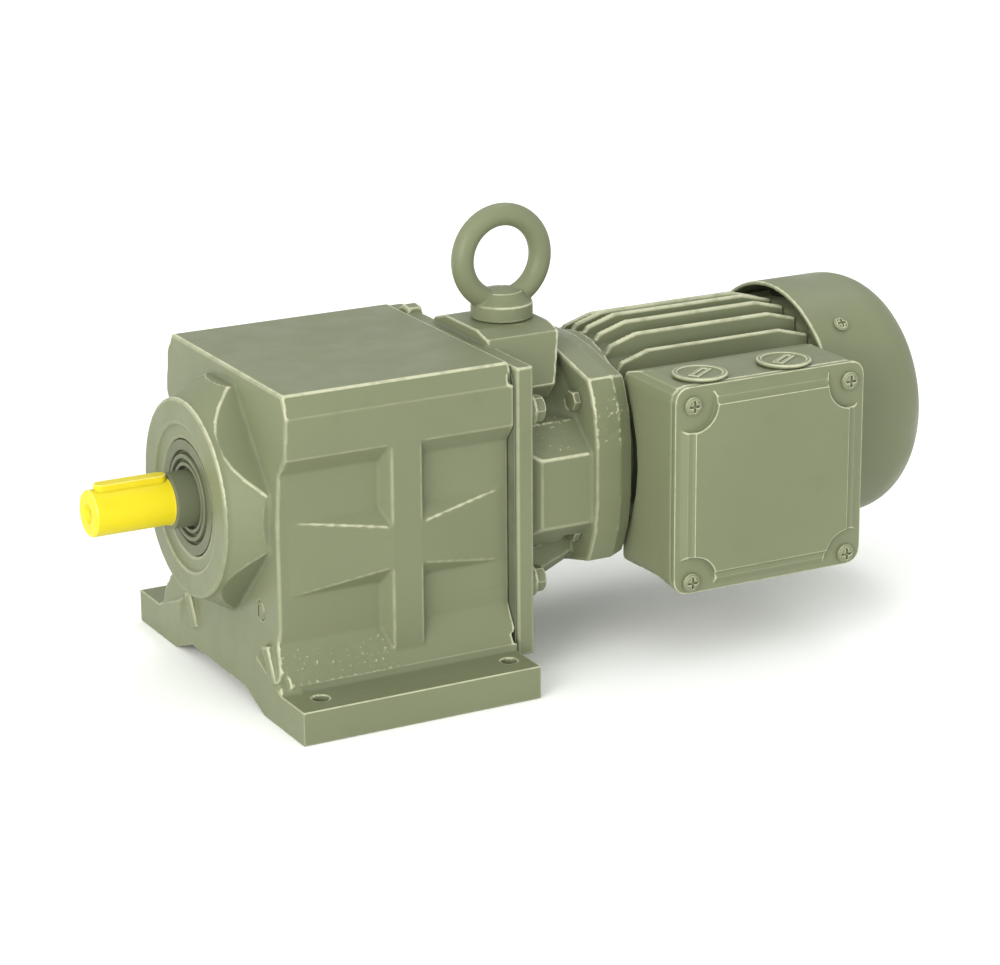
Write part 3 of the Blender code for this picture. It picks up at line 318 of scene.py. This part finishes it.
def cast(name, meshes, voxel, rounds=3, patches=()):
    """One skin over all the meshes, with small round edges."""
    made = new_object(name, joined(meshes))
    remesh = made.modifiers.new("skin", "REMESH")
    remesh.mode = "VOXEL"
    remesh.voxel_size = voxel
    smooth = made.modifiers.new("round", "SMOOTH")
    smooth.factor = 0.5
    smooth.iterations = rounds
    mesh = evaluated_mesh(made)
    made.modifiers.clear()
    made.data = mesh
    if patches:
        roughen(mesh, patches)
    mark_edges(mesh)
    mesh.shade_smooth()
    return made


def settle(piece, nodes, body, material):
    """Puts a finished piece in place of CAD nodes."""
    piece.data.materials.clear()
    piece.data.materials.append(material)
    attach(piece, body)
    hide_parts(*nodes)


# ---------------------------------------------------------------- materials


class Shader:
    """A short way to write a material's node tree."""

    def __init__(self, name):
        self.material = bpy.data.materials.new(name)
        self.material.use_nodes = True
        self.tree = self.material.node_tree
        self.surface = self.tree.nodes["Principled BSDF"]
        self.place = self.tree.nodes.new("ShaderNodeTexCoord").outputs["Object"]

    def put(self, node, key, value):
        if isinstance(value, bpy.types.NodeSocket):
            self.tree.links.new(value, node.inputs[key])
        else:
            node.inputs[key].default_value = value

    def node(self, kind, inputs, **settings):
        made = self.tree.nodes.new(kind)
        for key, value in settings.items():
            setattr(made, key, value)
        for key, value in inputs.items():
            self.put(made, key, value)
        return made

    def maths(self, operation, a, b=0.5, c=0.5, clamp=False):
        made = self.node("ShaderNodeMath", {0: a, 1: b, 2: c}, operation=operation, use_clamp=clamp)
        return made.outputs[0]

    def mix(self, factor, a, b):
        return self.node("ShaderNodeMix", {0: factor, 6: a, 7: b}, data_type="RGBA").outputs[2]

    def ramp(self, value, low, high, to_low=0.0, to_high=1.0):
        """Goes smoothly from to_low below low to to_high above high."""
        inputs = {"Value": value, "From Min": low, "From Max": high, "To Min": to_low, "To Max": to_high}
        return self.node("ShaderNodeMapRange", inputs, interpolation_type="SMOOTHSTEP").outputs[0]

    def noise(self, scale, detail=3.0, stretch=(1, 1, 1)):
        place = self.node("ShaderNodeMapping", {0: self.place, 3: stretch}).outputs[0]
        inputs = {"Vector": place, "Scale": scale, "Detail": detail}
        return self.node("ShaderNodeTexNoise", inputs).outputs[0]

    def stored(self, name):
        return self.node("ShaderNodeAttribute", {}, attribute_name=name).outputs["Fac"]

    def facing(self, axis):
        normal = self.node("ShaderNodeNewGeometry", {}).outputs["Normal"]
        return self.node("ShaderNodeSeparateXYZ", {0: normal}).outputs[axis]

    def bump(self, height, strength, distance, below=None):
        made = self.node("ShaderNodeBump", {"Height": height, "Strength": strength, "Distance": distance})
        if below is not None:
            self.put(made, "Normal", below)
        return made.outputs[0]

    def finish(self, **inputs):
        for key, value in inputs.items():
            self.put(self.surface, key.replace("_", " "), value)
        return self.material


def tinted(colour, factor):
    return (*[min(1.0, value * factor) for value in colour], 1)


def gloss_paint(name, colour, wear_and_highlight, shade, highlight_share=0.9, sideways=0.3, bare_from=None):
    """Thick semi-gloss paint: slow colour drift, a pale painted highlight on edges broken up like wear,
    painted shade in inside corners and orange peel.

    The painted edge highlight shows most where edges face up and least where they face the output end, and
    from the X given as bare_from onwards the coat ends and dark oiled metal shows.
    """
    s = Shader(name)
    base = s.mix(s.ramp(s.noise(11.0, 4.0), 0.35, 0.68), tinted(colour, 0.97), tinted(colour, 1.03))
    stain = s.ramp(s.noise(75.0, 5.0), 0.55, 0.78, 0.0, 0.12)
    base = s.mix(stain, base, tinted(shade, 1))
    # Painted shade: inside corners darken towards the shade colour.
    corner = s.ramp(s.stored("wide_edge"), -0.015, -0.12, 0.0, 0.75)
    base = s.mix(corner, base, tinted(shade, 0.9))
    # Painted highlight: the pale colour goes on edges that face up, on sideways edges only as much as
    # sideways gives, and less on edges facing the output end, broken up by noise.
    up = s.ramp(s.facing("Z"), 0.0, 0.35, sideways, 1.0)
    broken = s.ramp(s.noise(140.0, 3.0), 0.3, 0.55, 0.6, 1.0)
    turned_away = s.ramp(s.facing("X"), -0.8, -0.4, 0.4, 1.0)
    bright = s.maths("MULTIPLY", s.maths("MULTIPLY", up, broken), turned_away)
    edge = s.maths("MULTIPLY", s.ramp(s.stored("edge"), 0.02, 0.058), bright)
    base = s.mix(s.maths("MULTIPLY", edge, highlight_share, clamp=True), base, tinted(wear_and_highlight, 1))
    if bare_from is not None:
        along = s.node("ShaderNodeSeparateXYZ", {0: s.place}).outputs["X"]
        base = s.mix(s.maths("GREATER_THAN", along, bare_from), base, tinted(DARK_PAINT[0], 1.1))
    rough = s.ramp(s.noise(45.0, 4.0), 0.3, 0.7, 0.36, 0.5)
    peel = s.bump(s.noise(330.0, 2.0), 0.14, 0.12 * MM)
    grain = s.bump(s.noise(2300.0, 2.0), 0.06, 0.04 * MM, peel)
    return s.finish(Base_Color=base, Roughness=rough, Normal=grain, Specular_IOR_Level=0.22)


def metal(name, colour, dark, roughness, stretch=(1, 1, 1), wear_and_highlight=0.5):
    """Machined metal with fine tool marks, faint stains and bright edges."""
    s = Shader(name)
    stain = s.ramp(s.noise(60.0, 5.0), 0.4, 0.75, 0.0, 0.6)
    base = s.mix(stain, tinted(colour, 1), tinted(dark, 1))
    base = s.mix(s.ramp(s.stored("edge"), 0.05, 0.25, 0.0, wear_and_highlight), base, tinted(colour, 1.4))
    rough = s.ramp(s.noise(220.0, 3.0, stretch), 0.3, 0.7, roughness - 0.07, roughness + 0.09)
    marks = s.bump(s.noise(1500.0, 2.0, stretch), 0.12, 0.03 * MM)
    return s.finish(Base_Color=base, Metallic=1.0, Roughness=rough, Normal=marks)


def soft_material(name, colour, roughness, scale=300.0):
    """Rubber, gasket paper, plastic or varnish: a dull skin with dust and small marks."""
    s = Shader(name)
    dust = s.ramp(s.noise(35.0, 5.0), 0.45, 0.8, 0.0, 0.35)
    base = s.mix(dust, tinted(colour, 1), tinted(colour, 1.9))
    base = s.mix(s.ramp(s.stored("edge"), 0.05, 0.2, 0.0, 0.3), base, tinted(colour, 2.4))
    rough = s.ramp(s.noise(90.0, 3.0), 0.3, 0.7, roughness - 0.08, roughness + 0.08)
    skin = s.bump(s.noise(scale, 3.0), 0.2, 0.06 * MM)
    return s.finish(Base_Color=base, Roughness=rough, Normal=skin)


def paint(name, sideways=0.3):
    return gloss_paint(name, *PAINT, sideways=sideways)


# ---------------------------------------------------------------- gearbox


def slanted_rib(corners):
    """A low rib on the front wall, which leans back a little from the foot up."""
    points = []
    for x in (FOOT_FRONT - RIB_HEIGHT, FOOT_FRONT + RIB_DEPTH):
        for y, z in in_metres(corners):
            points.append((x + (z - FOOT_THICKNESS) * RIB_LEAN, y, z))
    return hull(points)


def housing():
    """The main casting, with a crisp turned hub and a flat-bottomed recess for the seal."""
    recess = [(HUB_FACE - 2 * MM, 0), (HUB_FACE - 2 * MM, HUB_RECESS)]
    recess += [(HUB_FACE + 2 * MM, HUB_RECESS), (HUB_FACE + 2 * MM, 0)]
    body = combined(welded("gear_housing"), "DIFFERENCE", [turned_mesh(recess, matrix=on_axis())])
    rim = [(HUB_FACE, HUB_RECESS), (HUB_FACE, HUB_RADIUS - 1.2 * MM), (HUB_FACE + 1.2 * MM, HUB_RADIUS)]
    rim += [(-70 * MM, HUB_RADIUS), (-70 * MM, HUB_RECESS)]
    hub = turned_mesh(rim, 160, on_axis())
    parts = [body, hub, slanted_rib(FAR_RIB), slanted_rib(NEAR_RIB)]
    piece = cast("housing_casting", parts, VOXEL, patches=HOUSING_ROUGH)
    settle(piece, ["gear_housing"], ROOT, paint("housing_paint"))


def oil_level_plug():
    """A small round plug with a deep upright slot."""
    low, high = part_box("level_plug")
    centre = Matrix.Translation((0, (low.y + high.y) / 2, (low.z + high.z) / 2))
    profile = [(-67.9, 0), (-67.9, 3.2), (-67.2, 4.4), (-66.4, 5), (-57, 5), (-57, 0)]
    slot = moved(block((-70 * MM, -1.1 * MM, -3.4 * MM), (-63.5 * MM, 1.1 * MM, 3.4 * MM)), centre)
    mesh = combined(turned_mesh(in_metres(profile), 48, centre), "DIFFERENCE", [slot])
    piece = cast("level_plug_body", [mesh], SMALL_VOXEL, 2)
    settle(piece, ["level_plug"], ROOT, paint("plug_paint"))


def shaft_seal():
    """The rings round the shaft: a stepped cover with dark grooves and a thin lip."""
    rings = [(-79.4, 30.9), (-86, 30.9), (-86, 25.4), (-83.6, 25), (-83.6, 23.6), (-86.6, 23.2)]
    rings += [(-86.6, 21), (-83.8, 20.6), (-83.8, 19.2), (-86.2, 18.8), (-86.2, 17), (-82.6, 16.4)]
    rings.append((-82.6, 15.3))
    rings += [(-80, 15.3), (-80, 18), (-79.4, 18.2)]
    mesh = turned_mesh(in_metres(rings), 128, on_axis())
    piece = cast("shaft_seal_rings", [mesh], SMALL_VOXEL)
    material = gloss_paint("seal_paint", *DARK_PAINT, highlight_share=0.5)
    settle(piece, ["output_seal"], ROOT, material)


def slotted(length, width, low, high, turn=Matrix()):
    """A straight bar with half-round ends, along X, from one height to the other."""
    half = (length - width) / 2
    points = []
    for side in (1, -1):
        for i in range(13):
            angle = -math.pi / 2 + math.pi * i / 12
            x = side * (half + width / 2 * math.cos(angle))
            y = side * width / 2 * math.sin(angle)
            points += [(x, y, low), (x, y, high)]
    return moved(hull(points), turn)


def output_shaft():
    """The shaft and its key: yellow as far as the shoulder, and dark behind it."""
    low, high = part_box("output_key")
    key_x = (low.x + high.x) / 2
    steps = [(-128, 0), (-130, 3.4), (-139.6, 3.4), (-142, 5.6), (-142, 11.4), (-140.9, 12.5)]
    steps += [(-97.5, 12.5), (-97.5, 15), (-63, 15), (-63, 17.5), (-58, 17.5), (-58, 14), (-46, 14)]
    steps += [(-46, 12.5), (-30.5, 12.5), (-30.5, 12), (-3, 12), (-3, 0)]
    place = on_axis(key_x)
    keyway = slotted(high.x - low.x + 0.3 * MM, high.y - low.y + 0.3 * MM, 8.4 * MM, 20 * MM, place)
    wheel_place = on_axis(-15 * MM)
    wheel_keyway = slotted(20.3 * MM, 8.3 * MM, 7.9 * MM, 20 * MM, wheel_place)
    mesh = combined(turned_mesh(in_metres(steps), 128, on_axis()), "DIFFERENCE", [keyway, wheel_keyway])
    bare_from = SHOULDER - 0.15 * MM
    yellow = gloss_paint("shaft_paint", *YELLOW, highlight_share=0.7, bare_from=bare_from)
    piece = cast("shaft_body", [mesh], SHAFT_VOXEL)
    settle(piece, ["output_shaft"], OUTPUT, yellow)
    key = slotted(high.x - low.x, high.y - low.y, 8.5 * MM, 15.5 * MM, place)
    settle(cast("shaft_key", [key], SMALL_VOXEL), ["output_key"], OUTPUT, yellow)


# ---------------------------------------------------------------- adaptor


def adaptor():
    """The adaptor casting, with a smooth round bell between its plate and the motor flange."""
    bell = in_metres([(80, 43), (80, 46), (92, 46), (104, 48.5), (112, 53), (113.5, 54.6), (113.5, 43)])
    parts = [welded("motor_adaptor"), turned_mesh(bell, 128, on_axis())]
    piece = cast("adaptor_casting", parts, VOXEL, patches=ADAPTOR_ROUGH)
    settle(piece, ["motor_adaptor"], ROOT, paint("adaptor_paint"))


def bolt(node, height, across, shank_radius, outward):
    """A hexagon bolt along X: its chamfered face looks outward, towards +X or -X."""
    low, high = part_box(node)
    place = Matrix.Translation((0, (low.y + high.y) / 2, (low.z + high.z) / 2))
    face, seat = (high.x, high.x - height) if outward > 0 else (low.x, low.x + height)
    corner = across / math.sqrt(3)
    prism = turned_mesh([(seat, 0), (seat, corner), (face, corner), (face, 0)], 6, place)
    edge = face - outward * 1.1 * MM
    cone = [(seat, 0), (seat, corner * 1.02), (edge, corner * 1.02), (face, corner * 0.86), (face, 0)]
    head = combined(prism, "INTERSECT", [turned_mesh(cone, 48, place)])
    end = low.x if outward > 0 else high.x
    inside = seat + outward * MM
    shank = turned_mesh([(end, 0), (end, shank_radius), (inside, shank_radius), (inside, 0)], 24, place)
    return cast(node + "_body", [head, shank], SMALL_VOXEL, 2)


def bolts(material):
    for node in sorted(NODES):
        if node.startswith("flange_bolt"):
            settle(bolt(node, 5.5 * MM, 13 * MM, 4 * MM, 1), [node], ROOT, material)
        elif node.startswith("motor_bolt"):
            settle(bolt(node, 4 * MM, 10 * MM, 3 * MM, -1), [node], ROOT, material)


def eye_bolt():
    """A forged ring bolt: its ring runs into a round collar."""
    upright = Matrix.Translation((EYE_X, 0, 0)) @ Matrix.Rotation(-math.pi / 2, 4, "Y")
    collar = [(158, 0), (158, 8), (178.8, 8), (178.8, 16.2), (179.6, 17), (187.2, 17), (188.4, 15.8)]
    collar += [(190.2, 13.6), (193.5, 11), (196, 0)]
    ring_radius, wire = 23.75 * MM, 6.25 * MM
    centre = Matrix.Translation((EYE_X, 0, EYE_TOP - ring_radius - wire))
    bm = bmesh.new()
    turns = [math.tau * i / 24 for i in range(24)]
    verts = [bm.verts.new((ring_radius + wire * math.cos(t), 0, wire * math.sin(t))) for t in turns]
    edges = [bm.edges.new(pair) for pair in zip(verts, verts[1:] + verts[:1])]
    bmesh.ops.spin(
        bm,
        geom=verts + edges,
        cent=(0, 0, 0),
        axis=(0, 0, 1),
        dvec=(0, 0, 0),
        angle=math.tau,
        steps=96,
        use_merge=True,
    )
    bm.transform(centre @ Matrix.Rotation(math.pi / 2, 4, "X"))
    ring = mesh_of(bm, "ring")
    piece = cast("eye_bolt_body", [turned_mesh(in_metres(collar), 96, upright), ring], FINE_VOXEL, 7)
    settle(piece, ["eye_bolt"], ROOT, paint("eye_bolt_paint"))


# ---------------------------------------------------------------- motor


def motor_casting():
    """The finned casting, with a round front ring and a round barrel under the fins."""
    ring = in_metres([(143.3, 56), (143.3, 57.9), (143.9, 58.5), (150.7, 58.5), (151.5, 57.7), (151.5, 56)])
    tube = in_metres([(150, 50.6), (150, 55), (276, 55), (276, 50.6)])
    lead_hole = block((190 * MM, -80 * MM, 90 * MM), (220 * MM, -40 * MM, 120 * MM))
    barrel = combined(turned_mesh(tube, 128, on_axis()), "DIFFERENCE", [lead_hole])
    parts = [welded("motor_frame"), turned_mesh(ring, 160, on_axis()), barrel]
    piece = cast("motor_casting", parts, VOXEL, 2)
    settle(piece, ["motor_frame"], ROOT, paint("motor_paint"))


def cowl_screw_turns():
    return [side * angle for side in (-1, 1) for angle in (COWL_SCREW_ANGLE, math.pi - COWL_SCREW_ANGLE)]


def fan_cowl():
    """A pressed sheet cowl with a round shoulder and air slots behind."""
    outer = [(COWL_REAR, 0)]
    inner = [(COWL_REAR - COWL_WALL, 0)]
    for i in range(13):
        angle = math.pi / 2 * (1 - i / 12)
        for line, radius in ((outer, COWL_BEND), (inner, COWL_BEND - COWL_WALL)):
            x = COWL_REAR - COWL_BEND + radius * math.sin(angle)
            line.append((x, COWL_RADIUS - COWL_BEND + radius * math.cos(angle)))
    outer.append((COWL_FRONT, COWL_RADIUS))
    inner.append((COWL_FRONT, COWL_RADIUS - COWL_WALL))
    slots = []
    for i in range(10):
        slot = slotted(32 * MM, 6 * MM, -10 * MM, 10 * MM)
        slot.transform(Matrix.Translation((33 * MM, 0, 0)))
        slot.transform(Matrix.Rotation(-math.pi / 2, 4, "Y"))
        slots.append(moved(slot, on_axis(COWL_REAR, turn=math.tau * i / 10)))
    mesh = combined(turned_mesh(outer + inner[::-1], 160, on_axis()), "DIFFERENCE", slots)
    piece = cast("cowl_shell", [mesh], SHEET_VOXEL, 4)
    settle(piece, ["fan_cowl"], ROOT, paint("cowl_paint"))


def cross_screw(node, place, radius):
    """A pan head with a cross recess, facing +X of its place."""
    depth, shank = 12 * MM, 2 * MM
    head = [(-depth, 0), (-depth, shank), (0, shank), (0, radius), (0.3 * radius, 0.97 * radius)]
    head += [(0.46 * radius, 0.78 * radius), (0.56 * radius, 0.45 * radius), (0.57 * radius, 0)]
    across, half = 0.62 * radius, 0.13 * radius
    cross = [block((0.22 * radius, -across, -half), (radius, across, half))]
    cross.append(moved(cross[0], Matrix.Rotation(math.pi / 2, 4, "X")))
    mesh = combined(turned_mesh(head, 40), "DIFFERENCE", cross)
    mesh.transform(place)
    return cast(node + "_body", [mesh], SMALL_VOXEL * 0.8, 2)


def screws(material):
    names = ("upper_far", "lower_far", "upper_near", "lower_near")
    for name, turn in zip(names, cowl_screw_turns()):
        place = on_axis(COWL_SCREW_X, turn=turn) @ Matrix.Translation((0, 0, COWL_RADIUS + 0.2 * MM))
        node = "cowl_screw_" + name
        piece = cross_screw(node, place @ Matrix.Rotation(-math.pi / 2, 4, "Y"), 4.4 * MM)
        settle(piece, [node], ROOT, material)
    for node in COVER_SCREWS:
        low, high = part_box(node)
        centre = ((low.x + high.x) / 2, COVER_EDGE - 0.3 * MM, (low.z + high.z) / 2)
        place = Matrix.Translation(centre) @ Matrix.Rotation(-math.pi / 2, 4, "Z")
        settle(cross_screw(node, place, 5.2 * MM), [node], ROOT, material)


# ---------------------------------------------------------------- terminal box


def box_base():
    piece = cast("terminal_box_casting", [welded("terminal_box_base")], BOX_VOXEL, 2)
    settle(piece, ["terminal_box_base"], ROOT, paint("terminal_box_paint"))


def rounded_square(inset, radius, y):
    """Points of the cover's outline at one depth, drawn in from its edge, with round corners."""
    points = []
    for x, sx in ((BOX_LEFT, -1), (BOX_RIGHT, 1)):
        for z, sz in ((BOX_BOTTOM, -1), (BOX_TOP, 1)):
            for i in range(9):
                angle = math.pi / 2 * i / 8
                across = x - sx * (inset + radius - radius * math.cos(angle))
                points.append((across, y, z - sz * (inset + radius - radius * math.sin(angle))))
    return points


def box_cover():
    """The lid: a thin rim, two sloping steps, a flat panel and a round recess at each screw."""
    rim = hull(rounded_square(0, 8 * MM, COVER_BACK) + rounded_square(0, 8 * MM, COVER_EDGE))
    step = rounded_square(1.5 * MM, 8 * MM, COVER_EDGE + 1 * MM)
    step += rounded_square(6.8 * MM, 5 * MM, COVER_EDGE - 2 * MM)
    panel = rounded_square(9.4 * MM, 5 * MM, COVER_EDGE - 1.4 * MM)
    panel += rounded_square(11 * MM, 4 * MM, COVER_FACE)
    lid = combined(rim, "UNION", [hull(step), hull(panel)])
    low = (BOX_LEFT + 20 * MM, COVER_BACK - 2.4 * MM, BOX_BOTTOM + 20 * MM)
    tools = [block(low, (BOX_RIGHT - 20 * MM, COVER_BACK + 2 * MM, BOX_TOP - 20 * MM))]
    upright = Matrix.Rotation(math.pi / 2, 4, "Z")
    for node in COVER_SCREWS:
        low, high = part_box(node)
        place = Matrix.Translation(((low.x + high.x) / 2, 0, (low.z + high.z) / 2)) @ upright
        well = [(-120, 0), (-120, 14.3), (COVER_EDGE / MM, 14.3), (COVER_EDGE / MM, 0)]
        hole = [(-120, 0), (-120, 2.4), (-100, 2.4), (-100, 0)]
        tools += [turned_mesh(in_metres(well), 64, place), turned_mesh(in_metres(hole), 24, place)]
    piece = cast("terminal_box_lid", [combined(lid, "DIFFERENCE", tools)], FINE_VOXEL, 2)
    # The lid's sideways edges carry most of the painted highlight.
    settle(piece, ["terminal_box_cover"], ROOT, paint("lid_paint", 0.85))


def blanking_plugs(material):
    """Round screw plugs on top of the box: a rim, a dished face and a bar across it with a slot."""
    for name in ("front", "rear"):
        node = "blanking_plug_" + name
        low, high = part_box(node)
        centre = (low + high) / 2
        upright = Matrix.Translation((centre.x, centre.y, high.z)) @ Matrix.Rotation(-math.pi / 2, 4, "Y")
        disc = [(-10.3, 0), (-10.3, 12), (-2, 12), (-2, 14.4), (-1.6, 15), (-0.5, 15), (0, 14.4)]
        disc += [(0, 12.2), (-1.2, 11.2), (-1.2, 0)]
        bar = block((-9 * MM, -3.2 * MM, -2 * MM), (9 * MM, 3.2 * MM, 0))
        slot = block((-7 * MM, -0.9 * MM, -1.4 * MM), (7 * MM, 0.9 * MM, 1 * MM))
        flat = Matrix.Translation((centre.x, centre.y, high.z)) @ Matrix.Rotation(math.radians(35), 4, "Z")
        bar = moved(combined(bar, "DIFFERENCE", [slot]), flat)
        piece = cast(node + "_body", [turned_mesh(in_metres(disc), 64, upright), bar], SMALL_VOXEL * 1.2, 2)
        settle(piece, [node], ROOT, material)


# ---------------------------------------------------------------- inner parts


def inner_materials():
    """The parts that stay as the CAD has them, each with a material picked by its name, machined steel
    where none is listed.
    """
    steel = metal("machined_steel", *STEEL, 0.3, (1, 6, 6))
    plate = metal("lamination_steel", *DARK_STEEL, 0.45, (12, 1, 1))
    copper = metal("enamelled_copper", *COPPER, 0.34, (8, 1, 1))
    rubber = soft_material("seal_rubber", (0.035, 0.035, 0.037), 0.62)
    paper = soft_material("gasket_paper", (0.10, 0.112, 0.068), 0.82, 900.0)
    plastic = soft_material("moulded_plastic", (0.05, 0.05, 0.052), 0.5)
    shield = paint("end_shield_paint")
    kinds = {
        "rear_end_shield": shield,
        "housing_gasket": paper,
        "box_gasket": paper,
        "motor_seal": rubber,
        "cooling_fan": plastic,
        "terminal_block": plastic,
        "stator_core": plate,
        "rotor_core": plate,
        "winding_front": copper,
        "winding_rear": copper,
    }
    for node, shown in NODES.items():
        if not shown.hide_render:
            shown.data.materials.clear()
            shown.data.materials.append(kinds.get(node, steel))


# ---------------------------------------------------------------- stage


def floor():
    bm = bmesh.new()
    bmesh.ops.create_grid(bm, x_segments=1, y_segments=1, size=12)
    made = new_object("floor", mesh_of(bm, "floor"), (0, 0, -0.2 * MM))
    s = Shader("floor_white")
    tone = s.mix(s.noise(2.0, 2.0), (0.93, 0.93, 0.93, 1), (0.95, 0.95, 0.95, 1))
    made.data.materials.append(s.finish(Base_Color=tone, Roughness=0.9, Specular_IOR_Level=0.1))
    return made


def lamp(name, place, size, power, colour):
    """A soft round lamp that points at the middle of the object."""
    data = bpy.data.lights.new(name, "AREA")
    data.shape = "DISK"
    data.size = size
    data.energy = power
    data.color = colour
    made = bpy.data.objects.new(name, data)
    made.location = place
    made.rotation_euler = (Vector(place) - Vector(LAMP_AIM)).to_track_quat("Z", "Y").to_euler()
    bpy.context.scene.collection.objects.link(made)
    return made


def surround():
    """The light all round: brightest behind the camera, and weaker towards the far side."""
    world = bpy.data.worlds.new("studio")
    world.use_nodes = True
    tree = world.node_tree
    across = tree.nodes.new("ShaderNodeVectorMath")
    across.operation = "DOT_PRODUCT"
    across.inputs[1].default_value = (-math.sin(CAMERA_AZIMUTH), math.cos(CAMERA_AZIMUTH), 0)
    tree.links.new(tree.nodes.new("ShaderNodeTexCoord").outputs["Generated"], across.inputs[0])
    fade = tree.nodes.new("ShaderNodeMapRange")
    fade.inputs["From Min"].default_value = -1
    fade.inputs["From Max"].default_value = 1
    fade.inputs["To Min"].default_value = SURROUND_NEAR
    fade.inputs["To Max"].default_value = SURROUND_FAR
    tree.links.new(across.outputs["Value"], fade.inputs["Value"])
    background = tree.nodes["Background"]
    background.inputs["Color"].default_value = SURROUND
    tree.links.new(fade.outputs[0], background.inputs["Strength"])
    bpy.context.scene.world = world
    bpy.context.scene.view_settings.view_transform = "Standard"


def lamps():
    return [
        lamp("key", (1.3, 1.1, 2.9), 1.4, 18, SOFT_WHITE),
        lamp("front_fill", (-2.8, -1.7, 1.3), 2.0, 52, WARM_WHITE),
        lamp("low_fill", (-2.3, -2.2, 0.4), 1.4, 34, SOFT_WHITE),
    ]


def camera():
    azimuth, elevation, roll = CAMERA_AZIMUTH, CAMERA_ELEVATION, CAMERA_ROLL
    flat = math.cos(elevation)
    back = Vector((math.sin(azimuth) * flat, -math.cos(azimuth) * flat, math.sin(elevation)))
    right = Vector((math.cos(azimuth), math.sin(azimuth), 0))
    up = back.cross(right)
    side = right * math.cos(roll) + up * math.sin(roll)
    data = bpy.data.cameras.new("camera")
    data.lens = CAMERA_LENS
    data.sensor_width = CAMERA_SENSOR
    made = bpy.data.objects.new("camera", data)
    turn = Matrix((side, back.cross(side), back)).transposed().to_4x4()
    made.matrix_world = Matrix.Translation(CAMERA_PLACE) @ turn
    bpy.context.scene.collection.objects.link(made)
    bpy.context.scene.camera = made


def build():
    fasteners = paint("fastener_paint")
    housing()
    oil_level_plug()
    shaft_seal()
    output_shaft()
    adaptor()
    bolts(fasteners)
    eye_bolt()
    motor_casting()
    fan_cowl()
    screws(fasteners)
    box_base()
    box_cover()
    blanking_plugs(fasteners)
    inner_materials()
    surround()
    floor()
    lamps()
    camera()


build()
